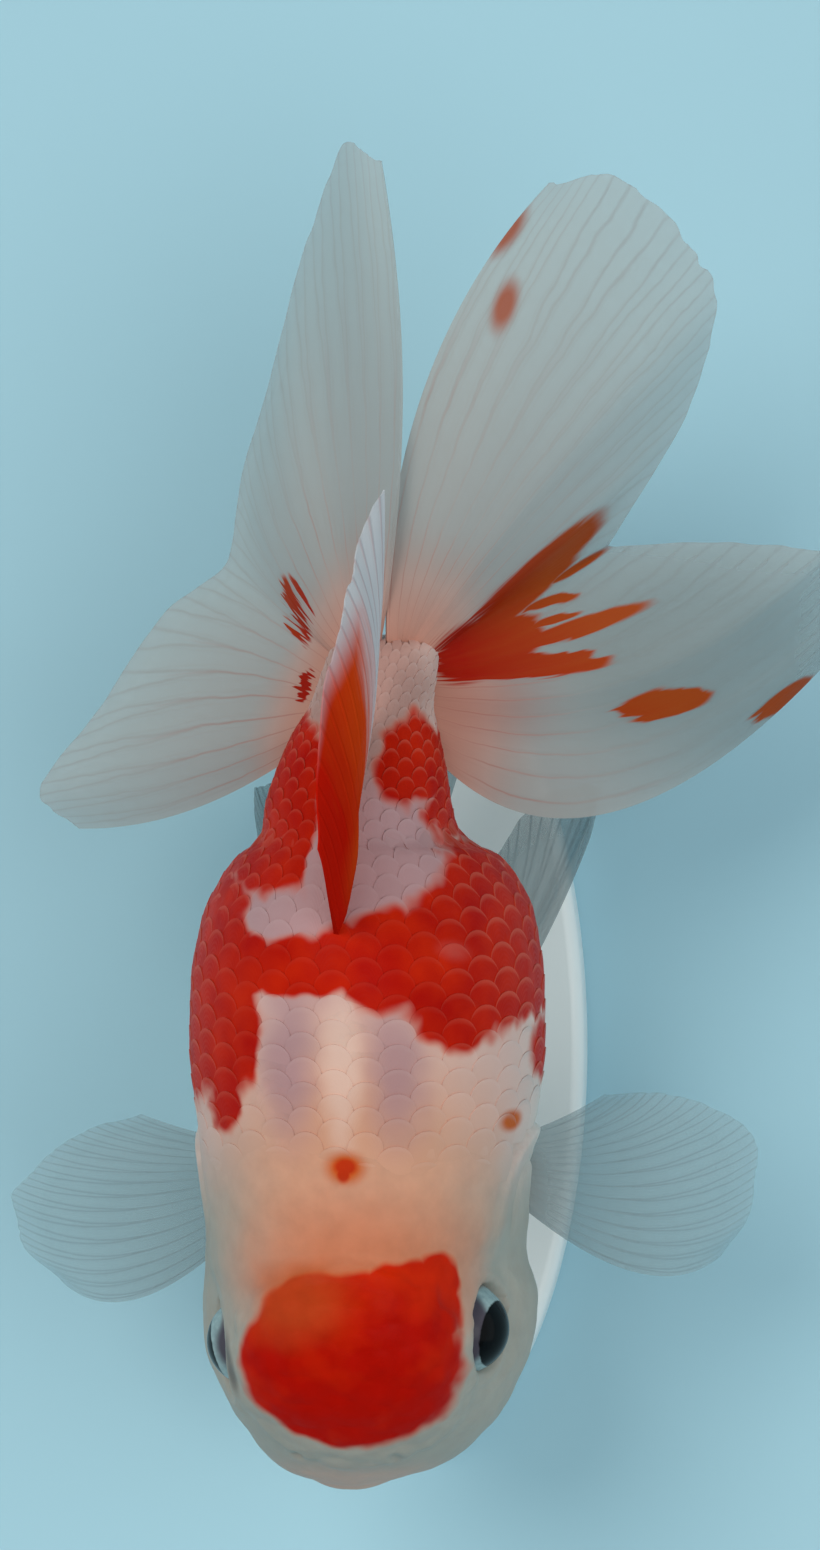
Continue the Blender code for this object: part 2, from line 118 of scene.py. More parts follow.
# The gill cover's edge and the groove behind it: their height at the top, and the rest low down.
GILL_PROUD, GILL_GROOVE, GILL_CREASE = (0.16, 0.34), (0.12, 0.30), 0.32
MOUTH_RADII, SLIT_RADII, SLIT_HOLLOW = (3.9, 2.9), (2.9, 0.85), 1.5
LIP_ROLL, LIP_CREASE = 0.16, 0.08
NOSTRIL_MIDLINE, NOSTRIL_ASIDE, NOSTRIL_Y = -0.8, 4.8, -38.1
NOSTRIL_FLAP, NOSTRIL_PIT = 0.12, 0.32
PEBBLE_SIZE = 2.3
PAD_HEIGHT, PAD_PEBBLES, CHEEK_PEBBLES = 0.30, 0.17, 0.07
SWELL_SIZE, SWELL_HEIGHT = 9.0, 0.12

# The coat: each row of scales lies half a scale across from the last. The rows run further
# apart on the stout trunk, and the scales are broader on the flanks than on the back. They keep
# clear of the gill covers except across the nape.
SCALE_DEPTH = 0.4
FREE_EDGE_DEPTH = 0.20
ROOT_DEPTH = 0.02
SCALE_THICKNESS = 0.12
SCALE_COLUMNS = 8
FLANK_SPREAD = 0.25
COAT_START, COAT_END, LAST_EDGE = -13.6, 40.2, 42.9
GILL_CLEARANCE, NAPE_WIDTH = 1.09, 5.0
BARE_END, COAT_FULL = -13.1, -6.0
ROW_STEP = 1.22
SCALE_LENGTH = 3.7
SCALE_WIDTH = 0.60
SCALE_GRID = (7, 14)
SCALE_ROUND = 0.42
# How broad each scale's patch is on the coat's unwrap.
PATCH = 0.003

# The stand's rods: how far they run on into the belly, the foot ring's thickness, and the sides
# of the turned shape. Then the base's rounding and the sides of its oval.
ROD_SINK = 1.8
RING = 0.6
ROD_SIDES = 48
BASE_EDGE = 1.4
BASE_SIDES = 160

# How deep a fin's root lies in the body, the web's thickness at root and edge, and how far the
# rays stand out. Each ray forks from FORK_START of its length on.
ROOT_SINK = 0.7
FIN_ROOT = 1.15
FIN_EDGE = 0.16
RAY_HEIGHT = 0.04
FORK_START = 0.38
FORK_SPREAD = 0.42

# How strongly wet tissue bends light, and how opaque the densest part of a fin may be.
TISSUE_IOR = 1.38
MOST_OPAQUE = 0.97

# Each eye's gaze: degrees above level and degrees ahead of straight out.
GAZES = {1: (15.0, 9.0), -1: (-10.0, 14.0)}
# How far each socket's opening sits ahead of the ball's middle and above it, and how much less
# of the ball's top is dark.
OPENINGS = {1: (0.0, 0.9), -1: (-0.9, 1.5)}
PALER_TOPS = {1: 0.0, -1: 0.28}

# Each fin is a fan between a few named rays, front or outer ray first. A ray is the place where
# it leaves the body (Y, and degrees round the section), a point half way along, and its tip.
DORSAL = (
    ((13.4, 89.0), (0.6, 18.0, 36.0), (0.2, 22.0, 41.5)),
    ((18.0, 86.0), (1.8, 24.0, 34.5), (0.7, 29.5, 41.5)),
    ((22.3, 84.0), (2.8, 30.0, 32.0), (1.1, 39.0, 38.0)),
    ((26.0, 84.0), (3.4, 36.0, 28.0), (1.6, 45.0, 33.0)),
    ((29.0, 85.0), (3.8, 40.0, 24.5), (2.6, 50.0, 29.0)),
    ((31.6, 88.0), (4.0, 43.5, 21.5), (4.8, 57.0, 25.0)),
)
TAIL_UPPER_RIGHT = (
    ((42.3, 98.0), (6.0, 65.0, 22.0), (3.3, 90.0, 16.5)),
    ((42.6, 110.0), (2.0, 67.0, 17.5), (0.2, 91.5, 13.5)),
    ((42.6, 124.0), (-2.8, 63.0, 11.5), (-4.8, 83.0, 8.0)),
    ((42.4, 140.0), (-6.8, 56.0, 7.5), (-9.7, 68.0, 3.0)),
    ((42.0, 156.0), (-9.4, 50.5, 3.5), (-13.5, 59.0, -1.0)),
    ((41.4, 172.0), (-9.6, 46.6, 2.0), (-14.6, 50.8, -3.0)),
)
TAIL_UPPER_LEFT = (
    ((42.3, 82.0), (8.1, 66.5, 20.0), (20.3, 87.5, 15.0)),
    ((42.6, 70.0), (13.4, 65.0, 19.0), (25.5, 88.8, 14.0)),
    ((42.6, 56.0), (18.4, 62.0, 16.0), (33.5, 82.5, 10.0)),
    ((42.4, 40.0), (20.6, 58.5, 12.5), (35.6, 75.5, 7.0)),
    ((42.0, 24.0), (20.2, 53.0, 8.0), (32.5, 65.0, 3.0)),
    ((41.4, 8.0), (16.4, 46.6, 3.4), (24.6, 51.8, -0.6)),
)
TAIL_LOWER_RIGHT = (
    ((40.7, 175.0), (-9.8, 46.2, 1.6), (-14.8, 50.2, -3.4)),
    ((38.8, 182.0), (-12.8, 43.0, 0.6), (-21.2, 45.3, -4.4)),
    ((36.6, 190.0), (-16.8, 37.2, -1.2), (-29.2, 34.3, -8.0)),
    ((34.2, 198.0), (-20.3, 29.8, -4.0), (-36.2, 26.8, -12.0)),
    ((31.6, 206.0), (-19.2, 25.2, -6.0), (-32.2, 23.2, -13.0)),
)
TAIL_LOWER_LEFT = (
    ((40.7, 5.0), (16.2, 46.0, 3.0), (23.2, 50.0, -1.0)),
    ((38.8, -2.0), (22.3, 42.2, 0.0), (36.6, 52.2, -4.0)),
    ((36.6, -10.0), (27.1, 38.2, -2.0), (46.2, 51.5, -9.0)),
    ((34.0, -18.0), (26.8, 32.2, -5.0), (47.2, 46.4, -16.0)),
    ((30.6, -26.0), (23.6, 25.2, -7.4), (44.8, 41.0, -18.5)),
)
PECTORAL_LEFT = (
    ((-12.6, -47.0), (24.6, -21.4, -13.4), (34.4, -20.0, -14.0)),
    ((-11.8, -46.4), (26.0, -17.8, -12.8), (37.4, -14.8, -13.0)),
    ((-11.0, -45.8), (26.2, -13.4, -12.4), (38.2, -9.2, -12.0)),
    ((-10.2, -45.2), (24.6, -9.6, -12.2), (34.7, -5.0, -11.4)),
    ((-9.4, -44.6), (21.6, -7.6, -12.6), (28.4, -3.4, -12.4)),
    ((-8.6, -44.0), (17.8, -6.2, -13.6), (22.6, -3.6, -13.8)),
)
PECTORAL_RIGHT = (
    ((-13.6, 227.0), (-23.8, -24.2, -13.4), (-33.6, -23.2, -14.0)),
    ((-12.8, 226.4), (-25.8, -20.8, -12.8), (-37.8, -19.0, -13.0)),
    ((-12.0, 225.8), (-26.4, -16.2, -12.4), (-38.4, -14.2, -12.0)),
    ((-11.2, 225.2), (-25.0, -12.2, -12.2), (-35.4, -10.8, -11.4)),
    ((-10.4, 224.6), (-22.6, -9.6, -12.6), (-30.9, -7.6, -12.4)),
    ((-9.6, 224.0), (-19.2, -7.8, -13.6), (-25.4, -6.0, -13.8)),
)
PELVIC = (
    ((-1.6, -63.0), (14.4, 10.5, -26.6), (19.8, 22.5, -29.0)),
    ((-0.2, -65.0), (14.4, 12.8, -27.6), (20.8, 28.0, -30.0)),
    ((1.2, -67.0), (12.6, 13.8, -28.6), (16.4, 28.0, -31.5)),
    ((2.6, -69.0), (9.6, 12.5, -28.6), (10.6, 22.5, -32.0)),
    ((4.0, -71.0), (6.8, 10.5, -27.6), (7.0, 16.5, -31.0)),
)
ANAL = (
    ((19.4, -72.0), (6.0, 27.5, -21.0), (8.2, 36.5, -25.0)),
    ((21.2, -72.0), (6.2, 30.5, -17.2), (8.6, 40.0, -20.5)),
    ((23.0, -71.0), (6.0, 31.5, -13.2), (8.0, 39.5, -15.6)),
    ((24.8, -70.0), (5.6, 31.0, -9.2), (6.8, 36.5, -11.2)),
)


def joined_tail(upper, lower):
    """Both lobes of one side's tail as one web, with its first ray on the ridge of the tail root."""
    (y, turn), *others = upper[0]
    first = ((y, (turn + 90.0) / 2), *others)
    return (first, *upper[1:], *lower[1:])


def held_closer(rays, share=0.78):
    """The same fin with its middle and tip brought in towards the midline."""
    return [(root, *((x * share, y, z) for x, y, z in others)) for root, *others in rays]


# The camera's tip in degrees, and its aim, distance and picture height in millimetres.
CAMERA_TIP = 7.0
CAMERA_AIM = (4.2, 28.8)
CAMERA_AWAY = 700.0
FRAME_HEIGHT = 155.0
SENSOR = 36.0

# Broad even lights from far off: name, where they come from, width in degrees, strength, colour.
SUNS = (
    ("key_light", (-0.26, 0.30, 0.90), 28.0, 1.29, "#FFF7EE"),
    ("fill_light", (0.40, -0.05, 0.85), 38.0, 1.05, "#F2F4F2"),
)
# Panels at the sides: name, place in metres, size in metres, power in watts and colour.
PANELS = (
    ("side_light_left", (0.60, 0.02, 0.42), 0.80, 1.3, "#F6F3EE"),
    ("side_light_right", (-0.60, 0.02, 0.42), 0.80, 1.3, "#F6F3EE"),
)
# The floor is flat out to here, in metres, and then sweeps up so that no horizon shows.
FLOOR_FLAT, FLOOR_EDGE, FLOOR_SWEEP = 0.4, 4.5, 0.026
FLOOR_SIDES, FLOOR_RINGS = 96, 24
# Where the lights aim, in millimetres along X and Y, and the light of the air all round.
LIGHT_AIM = (3.0, 20.0)
AIR, AIR_STRENGTH = "#C8DEE6", 0.32

# The red marks, and the spots and veil near them.
RED_DEEP = "#A80C02"
RED_WARM = "#C42404"
RED_BORDER = "#C84E22"
SPOT_ORANGE = "#BE5A22"
VEIL_ORANGE = "#B2441C"
# White flesh, the colours of painted shadow in creases, and the scales' free edges.
BELLY_SILVER = "#D0D1CB"
PEARL_BACK = "#D4B2A8"
CHEEK_GREY = "#9C9E95"
SNOUT_PINK = "#C0A496"
SOCKET_SHADOW_DARK = "#33363E"
LIP_SHADOW = "#4E302C"
EDGE_PEARL = "#E2D6D2"
EDGE_SILVER = "#9DA3A6"
EDGE_PINK = "#CC6C58"
# The fins.
FIN_RED = "#981606"
FIN_ORANGE = "#9C4216"
WEB_WARM = "#A7A19D"
VESSEL = "#9A6058"
BACK_FIN_RED = "#B81406"
BACK_FIN_ORANGE = "#CC4410"
BACK_FIN_WHITE = "#C9C8CC"
BACK_FIN_RAY = "#B7A9AC"
# The eyes.
PUPIL_BLACK = "#050608"
IRIS_DULL = "#6F8488"
IRIS_BRIGHT = "#A5BCBE"
EYE_TOP_DARK = "#4B4650"
EYE_PALE = "#83807C"
# The stand and the floor, each between its darker and its lighter tone.
LACQUER_LOW, LACQUER_HIGH = "#DDE2E2", "#E8EBEA"
STEEL_LOW, STEEL_HIGH = "#A9ABAD", "#C9CBCC"
FLOOR_LOW, FLOOR_HIGH = "#9AC3D2", "#A2CAD8"

# Half the angle of the pupil and of the iris, in degrees from the gaze.
PUPIL = 41.0
IRIS = 62.0

# How far the red keeps to whole scales: 0 ignores them, 1 gives each scale one colour.
SCALE_STEP = 0.08
# How far the borders of the red wander to and fro along the flanks.
FLANK_SWAY = 14.0

# Tones over the white flesh of the back: centre, radii, softness, strength and colour.
# The last three are painted shade either side of the back's low ridge, and a pearl stripe along it that is
# partly a painted highlight.
BACK_TONES_AND_RIDGE_SHADING = (
    ((0.0, 19.0), (13.0, 12.5), 0.30, 0.85, "#A98388"),
    ((1.6, -11.5), (12.4, 14.0), 0.55, 0.90, "#CC967A"),
    ((1.5, -20.0), (10.5, 7.0), 0.60, 0.70, "#C06C48"),
    ((-2.6, -20.9), (5.4, 2.2), 0.70, 0.75, "#B4501F"),
    ((1.5, 36.0), (7.0, 8.0), 0.35, 0.85, "#A07C74"),
    ((-4.9, 1.2), (2.6, 6.8), 0.75, 0.80, "#A08088"),
    ((5.7, 0.6), (2.6, 6.4), 0.75, 0.80, "#A28086"),
    ((0.5, 0.5), (1.7, 7.5), 0.70, 0.70, "#DDBFB1"),
)


def along(table, y):
    """The values of a profile at y, on a smooth curve that never overshoots its table."""
    places, values = np.array(table, float).T
    steps = np.diff(values) / np.diff(places)
    product, total = steps[:-1] * steps[1:], steps[:-1] + steps[1:]
    inner = np.where(product > 0, 2 * product / np.where(product > 0, total, 1.0), 0.0)
    tangents = np.concatenate([steps[:1], inner, steps[-1:]])
    y = np.clip(y, places[0], places[-1])
    i = np.clip(np.searchsorted(places, y, side="right") - 1, 0, len(places) - 2)
    gap = places[i + 1] - places[i]
    t = (y - places[i]) / gap
    rise = gap * (tangents[i] * t * (1 - t) ** 2 - tangents[i + 1] * t * t * (1 - t))
    return values[i] * (1 + 2 * t) * (1 - t) ** 2 + values[i + 1] * t * t * (3 - 2 * t) + rise


def bump(distance, spread):
    return np.exp(-0.5 * (distance / spread) ** 2)


def smooth(start, end, value):
    """0 before start, 1 past end, and a soft step between. start may be above end."""
    t = np.clip((value - start) / (end - start), 0.0, 1.0)
    return t * t * (3 - 2 * t)


def ellipse(first, second, centre, radii):
    """How far places lie from an ellipse's centre: 1 on its border."""
    return np.hypot((first - centre[0]) / radii[0], (second - centre[1]) / radii[1])


def eye_line(side):
    """How far along the body the eye on this side lies: side is above 0 on the fish's left."""
    return np.where(side > 0, EYE_PLACES[1][1], EYE_PLACES[-1][1])


def flesh(y, turn):
    """Points of the body's surface: turn 0 is the fish's left, a quarter turn is the back."""
    y, turn = np.broadcast_arrays(np.asarray(y, float), turn)
    cos, sin = np.cos(turn), np.sin(turn)
    power = 2.0 / along(SQUARE, y)
    widest = along(WIDEST, y)
    reach = np.where(sin > 0, along(BACK, y) - widest, widest - along(BELLY, y))
    x = along(WIDTH, y) * np.sign(cos) * np.abs(cos) ** power
    z = widest + reach * np.sign(sin) * np.abs(sin) ** power
    orbit = bump(np.hypot(y - eye_line(cos), z - EYE_PLACES[1][2]), ORBIT_SPREAD)
    cheek = bump(np.hypot(y - CHEEK_PLACE[0], (z - CHEEK_PLACE[1]) * 0.8), CHEEK_SPREAD)
    side = np.minimum(1.0, np.abs(x) / 8.0)
    x = x + np.sign(x) * side * (CHEEK_SWELL * cheek - ORBIT_DEPTH * orbit)
    hood = ellipse(x, y, HOOD_PLACE, HOOD_RADII)
    z = z + np.where(sin > 0, HOOD_SWELL * np.clip((1.15 - hood) / 0.3, 0.0, 1.0), 0.0)
    return np.stack([x + along(CENTRE, y), y, z], -1)


def flesh_normal(y, turn):
    """The way out of the body at points of its surface."""
    y, turn = np.broadcast_arrays(np.asarray(y, float), turn)
    behind = np.minimum(y + 0.1, 43.0)
    around = flesh(y, turn + 0.02) - flesh(y, turn - 0.02)
    normal = np.cross(flesh(behind, turn) - flesh(y - 0.1, turn), around)
    return normal / np.linalg.norm(normal, axis=-1, keepdims=True)


def deselect():
    """Operators act on all that is selected, and the frame comes in selected."""
    bpy.ops.object.select_all(action="DESELECT")


def place_points(piece, points):
    """Moves a piece's vertices to places given in millimetres from the fish's axis."""
    lifted = (np.asarray(points, float) + (0.0, 0.0, AXIS)) * MM
    piece.data.vertices.foreach_set("co", lifted.astype(np.float32).ravel())
    piece.data.update()


def read_vectors(items, field):
    """A field of three numbers from each of a mesh's items."""
    found = np.empty(len(items) * 3, np.float32)
    items.foreach_get(field, found)
    return found.reshape(-1, 3).astype(float)


def points_of(piece):
    return read_vectors(piece.data.vertices, "co")


def normals_of(piece):
    return read_vectors(piece.data.vertex_normals, "vector")


def keep_values(piece, label, values, kind="FLOAT"):
    """Stores a value on each vertex for the piece's material to read."""
    kept = piece.data.attributes.new(label, kind, "POINT")
    kept.data.foreach_set("value" if kind == "FLOAT" else "vector", values.astype(np.float32).ravel())


def turn_faces_out():
    """Points every face of the active piece outwards."""
    bpy.ops.object.mode_set(mode="EDIT")
    bpy.ops.mesh.select_all(action="SELECT")
    bpy.ops.mesh.normals_make_consistent(inside=False)
    bpy.ops.object.mode_set(mode="OBJECT")


def shade(piece, degrees=40.0):
    deselect()
    piece.select_set(True)
    bpy.context.view_layer.objects.active = piece
    bpy.ops.object.shade_smooth_by_angle(angle=math.radians(degrees))


def stand_in_for(piece, slot, material, *nodes):
    """The finished piece takes its material, rides with the body and stands for CAD nodes."""
    piece.data.materials.clear()
    piece.data.materials.append(material)
    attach(piece, "root")
    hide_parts(*nodes)


def lumps(points, size):
    """Rounded pebbles about size across: 1 on top of each and 0 in the creases between."""
    nearest = [noise.voronoi(Vector(p) / size)[0][0] for p in points]
    return 1.0 - np.clip(np.array(nearest) / 0.75, 0.0, 1.0) ** 2


def waves(points, size):
    """A gentle uneven swell of about one either way, with hills about size apart."""
    return np.array([noise.noise(Vector(p) / size) for p in points]) * 2.0


def eye_rims(x, y, z):
    """Soft raised ring round each eye, and a hollow under the ball."""
    away = np.hypot(y - eye_line(x), z - EYE_PLACES[1][2])
    ahead, above = (np.where(x > 0, OPENINGS[1][k], OPENINGS[-1][k]) for k in (0, 1))
    opening = np.hypot(y - eye_line(x) - ahead, z - EYE_PLACES[1][2] - above)
    side = smooth(5.0, 8.0, np.abs(x))
    place, height, spread = EYE_RIM
    rim = height * bump(opening - place, spread)
    place, height, spread = EYE_FOLD
    rim = rim + height * bump(away - place, spread)
    inside = smooth(SOCKET_SIZE, SOCKET_SIZE - 1.0, np.minimum(away, opening))
    return side * (rim - SOCKET_HOLLOW * inside)


def gill_edges(x, y, z):
    """Each gill cover stands proud along its rear edge, with a groove behind it and a crease in it."""
    place = ellipse(y, z, GILL_PLACE, GILL_RADII)
    side = smooth(5.0, 8.5, np.abs(x)) * smooth(-20.0, -14.0, y)
    low = smooth(9.0, 3.0, z)
    cover = (GILL_PROUD[0] + GILL_PROUD[1] * low) * smooth(0.70, 0.95, place) * smooth(1.04, 0.99, place)
    groove = (GILL_GROOVE[0] + GILL_GROOVE[1] * low) * bump(place - 1.06, 0.03)
    crease = GILL_CREASE * bump(place - 0.60, 0.04) * low
    return side * (cover - groove - crease)


def mouth_shape(x, y, z):
    """A small slit between two rolled lips at the very tip of the snout."""
    front = smooth(-37.5, -39.5, y)
    lip = ellipse(x, z, MOUTH_PLACE, MOUTH_RADII)
    slit = ellipse(x, z, MOUTH_PLACE, SLIT_RADII)
    rolled = LIP_ROLL * bump(lip - 0.70, 0.20) - LIP_CREASE * bump(lip - 1.15, 0.12)
    return front * (rolled - SLIT_HOLLOW * smooth(1.0, 0.35, slit))


def nostrils(x, y, z):
    """A pit with a low flap round it, each side above the mouth."""
    aside = np.abs(x - NOSTRIL_MIDLINE) - NOSTRIL_ASIDE
    away = np.hypot(aside, (y - NOSTRIL_Y) * 1.2) + 4.0 * smooth(5.0, 3.0, z)
    return NOSTRIL_FLAP * bump(away - 1.15, 0.4) - NOSTRIL_PIT * smooth(0.8, 0.2, away)


def hood_growth(x, y, z, points):
    """The low raspberry-like pad on top of the head, and its fainter growth over the cheeks."""
    place = ellipse(x, y, HOOD_PLACE, HOOD_RADII)
    pad = smooth(1.10, 0.98, place + 0.05 * waves(points, 2.4)) * smooth(7.0, 10.0, z)
    cheeks = smooth(-12.0, -20.0, y) * (1.0 - pad)
    pebbles = lumps(points, PEBBLE_SIZE)
    return pad * (PAD_HEIGHT + PAD_PEBBLES * pebbles) + cheeks * CHEEK_PEBBLES * pebbles


def relief(points):
    """How far the skin stands in or out of the plain flesh, in millimetres."""
    head = points[:, 1] < HEAD_END + 4.0
    x, y, z = points[head].T
    out = np.zeros(len(points))
    out[head] = eye_rims(x, y, z) + gill_edges(x, y, z) + mouth_shape(x, y, z)
    out[head] += nostrils(x, y, z) + hood_growth(x, y, z, points[head])
    return out + SWELL_HEIGHT * waves(points, SWELL_SIZE)


def coat_depth(y):
    """How far under the body's surface the skin lies: nothing on the bare head."""
    return SCALE_DEPTH * smooth(BARE_END, COAT_FULL, y)


def skin_stations(shares):
    """Places along the body for equal steps over its outline, closer together on the head."""
    y = np.linspace(WIDTH[0][0], WIDTH[-1][0], 6001)
    outline = np.hypot(np.diff(y), np.diff(along(WIDTH, y)))
    weight = outline * np.where(y[1:] < HEAD_END, HEAD_FINENESS, 1.0)
    way = np.concatenate([[0.0], np.cumsum(weight)])
    return np.interp(shares, way / way[-1], y)


def build_skin(material):
    """A ball drawn out along the body, one unbroken skin from snout to tail root."""
    deselect()
    bpy.ops.mesh.primitive_uv_sphere_add(segments=SKIN_ROUND, ring_count=SKIN_RINGS, radius=1.0)
    skin = bpy.context.object
    skin.name = "skin"
    ball = points_of(skin)
    stations = skin_stations(np.arccos(np.clip(ball[:, 2], -1.0, 1.0)) / math.pi)
    plain = flesh(stations, np.arctan2(ball[:, 1], ball[:, 0]))
    place_points(skin, plain)
    out = relief(plain) - coat_depth(stations)
    place_points(skin, plain + normals_of(skin) * out[:, None])
    shade(skin, 60.0)
    stand_in_for(
        skin, "pale_skin", material,
        "head", "hood", "upper_lip", "lower_lip", "gill_cover_left", "gill_cover_right",
        "trunk", "tail_stem",
    )
    return skin


class Section:
    """Places round the body by their share of the way from the back's midline to the belly's."""

    def __init__(self):
        self.y = np.linspace(-13.0, 43.1, 225)
        self.share = np.linspace(0.0, 1.0, 121)
        turn = np.linspace(math.pi / 2, -math.pi / 2, 241)
        ring = flesh(self.y[:, None], turn)
        steps = np.linalg.norm(np.diff(ring, axis=1), axis=-1)
        way = np.concatenate([np.zeros((len(self.y), 1)), np.cumsum(steps, axis=1)], axis=1)
        self.half = way[:, -1]
        self.turns = np.array([np.interp(self.share * w[-1], w, turn) for w in way])

    def half_round(self, y):
        return np.interp(y, self.y, self.half)

    def turn_at(self, y, share):
        """The turn for a signed share: positive on the left side, and it wraps at the belly."""
        share = (np.asarray(share) + 1.0) % 2.0 - 1.0
        share = share - FLANK_SPREAD / (2 * math.pi) * np.sin(2 * math.pi * share)
        i = np.clip((y - self.y[0]) / (self.y[1] - self.y[0]), 0, len(self.y) - 1.001)
        j = np.clip(np.abs(share) * (len(self.share) - 1), 0, len(self.share) - 1.001)
        a, b = i.astype(int), j.astype(int)
        s, t = i - a, j - b
        near = self.turns[a, b] * (1 - t) + self.turns[a, b + 1] * t
        far = self.turns[a + 1, b] * (1 - t) + self.turns[a + 1, b + 1] * t
        turn = near * (1 - s) + far * s
        return np.where(share < 0, math.pi - turn, turn)


def scale_pattern():
    """One scale: a flat grid of how far back (0 to 1) and across (-1 to 1) each point lies."""
    rows, columns = SCALE_GRID
    back, across = np.meshgrid(
        np.linspace(0.0, 1.0, rows + 1),
        np.sin(np.linspace(-0.5, 0.5, columns + 1) * math.pi),
        indexing="ij",
    )
    back, across = back.ravel(), across.ravel()
    narrow = 0.75 + 0.25 * smooth(0.0, 0.5, back)
    drop = 1.0 - np.sqrt(1.0 - 0.98 * across**2)
    reach = back * (1.0 - SCALE_ROUND * back**2 * drop)
    return back, across, reach, across * narrow


def scale_faces():
    """The top grid of a scale, its rim, and one face below. The rim's lower ring comes last."""
    rows, columns = SCALE_GRID

    def at(r, c):
        return r * (columns + 1) + c

    top = [
        (at(r, c), at(r + 1, c), at(r + 1, c + 1), at(r, c + 1))
        for r in range(rows)
        for c in range(columns)
    ]
    ring = [at(0, c) for c in range(columns)] + [at(r, columns) for r in range(rows)]
    ring += [at(rows, c) for c in range(columns, 0, -1)] + [at(r, 0) for r in range(rows, 0, -1)]
    first = (rows + 1) * (columns + 1)
    below = list(range(first, first + len(ring)))
    after = ring[1:] + ring[:1]
    after_below = below[1:] + below[:1]
    rim = list(zip(ring, after, after_below, below))
    return ring, top + rim + [tuple(reversed(below))]


def row_step(section, y):
    """From one row of scales to the next, in millimetres."""
    return ROW_STEP * (section.half_round(y) / section.half.max()) ** 0.45


def scale_roots(section):
    """(y, share) of every scale's root, row by row."""
    rows, y = [], COAT_START
    while y < COAT_END:
        rows.append(y)
        y += row_step(section, y)
    found = [
        (y, (j + 0.5 * (i % 2)) / SCALE_COLUMNS)
        for i, y in enumerate(rows)
        for j in range(-SCALE_COLUMNS, SCALE_COLUMNS)
    ]
    roots = np.array([(y, 1.0 if share == -1.0 else share) for y, share in found])
    x, y, z = flesh(roots[:, 0], section.turn_at(roots[:, 0], roots[:, 1])).T
    gill = ellipse(y + 1.4, z, GILL_PLACE, GILL_RADII)
    return roots[(gill > GILL_CLEARANCE) | (np.abs(x) < NAPE_WIDTH)]


def build_scales(name, side, section, roots, material):
    """One side's coat: every scale follows the body, its root in the skin and its rear edge free."""
    roots = roots[roots[:, 1] >= 0] if side > 0 else roots[roots[:, 1] < 0]
    back, across, reach, wide = scale_pattern()
    ring, faces = scale_faces()
    first = roots[:, :1]
    # Smaller just behind the head, and where the trunk narrows into the tail root.
    short = smooth(-22.0, -9.0, first) * (1.0 - 0.30 * bump(first - 21.5, 3.2))
    long = row_step(section, first) * SCALE_LENGTH * short
    y = np.minimum(first + reach * long, LAST_EDGE)
    share = roots[:, 1:] + wide * SCALE_WIDTH * 0.5 / SCALE_COLUMNS
    turn = section.turn_at(y, share)
    out = flesh_normal(y, turn)
    lift = coat_depth(y) - FREE_EDGE_DEPTH + ROOT_DEPTH
    rise = lift * back - 0.06 * across**2 * back - ROOT_DEPTH - coat_depth(y)
    top = flesh(y, turn) + out * rise[:, :, None]
    below = top[:, ring] - out[:, ring] * SCALE_THICKNESS
    points = np.concatenate([top, below], axis=1)
    each = points.shape[1]
    deselect()
    mesh = bpy.data.meshes.new(name)
    mesh.from_pydata(
        (points.reshape(-1, 3) + (0.0, 0.0, AXIS)) * MM,
        [],
        [tuple(v + k * each for v in face) for k in range(len(roots)) for face in faces],
    )
    coat = bpy.data.objects.new(name, mesh)
    bpy.context.collection.objects.link(coat)
    bpy.context.view_layer.objects.active = coat
    turn_faces_out()
    chosen = np.concatenate([np.arange(len(back)), ring])
    free = smooth(0.84, 1.0, back)
    middle = points[:, (SCALE_GRID[0] - 1) * (SCALE_GRID[1] + 1) + SCALE_GRID[1] // 2]
    tint = np.random.default_rng(5 + side).random(len(roots))
    numbers = {
        "free_edge": np.tile(free[chosen], len(roots)),
        "tint": np.repeat(tint, each),
        "back": np.tile(back[chosen], len(roots)),
        "across": np.tile(across[chosen], len(roots)),
    }
    for label, values in numbers.items():
        keep_values(coat, label, values)
    keep_values(coat, "scale_place", np.repeat(middle, each, axis=0), "FLOAT_VECTOR")
    root_turn = section.turn_at(roots[:, 0], roots[:, 1])
    nose, end = WIDTH[0][0], WIDTH[-1][0]
    unwrap = np.stack([(root_turn / (2 * math.pi)) % 1.0, (roots[:, 0] - nose) / (end - nose)], -1)
    local = np.stack([across, 2 * back - 1], -1)[chosen] * PATCH / 2
    places = (0.01 + 0.98 * unwrap[:, None] + local).reshape(-1, 2)
    corner = np.empty(len(mesh.loops), np.int32)
    mesh.loops.foreach_get("vertex_index", corner)
    layer = mesh.uv_layers.new(name="OFBake")
    layer.uv.foreach_set("vector", places[corner].astype(np.float32).ravel())
    shade(coat, 50.0)
    coat.data.materials.append(material)
    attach(coat, "root")
    return coat


def fin_ray(rays, u):
    """Root, middle and tip of the rays that lie shares u of the way across a fin."""
    order = range(len(rays))
    where = u * (len(rays) - 1)

    def between(part, axis):
        return along([(k, rays[k][part][axis]) for k in order], where)

    y, turn = between(0, 0), np.radians(between(0, 1))
    root = flesh(y, turn) - ROOT_SINK * flesh_normal(y, turn)
    return root, *(np.stack([between(part, axis) for axis in range(3)], -1) for part in (1, 2))


def ragged(u, count, depth, seed):
    """How much of each ray's length is missing: a shallow bay between rays, and a few tears."""
    bays = 0.10 * np.sin(math.pi * u * count) ** 2
    uneven = np.array([noise.noise(Vector((v * 9.0, seed, 0.3))) for v in u])
    fine = np.array([noise.noise(Vector((v * 34.0, seed, 7.1))) for v in u])
    return depth * (bays + np.clip(0.35 + 1.1 * uneven, 0.0, 1.0) + 0.45 * np.clip(fine, 0.0, 1.0))


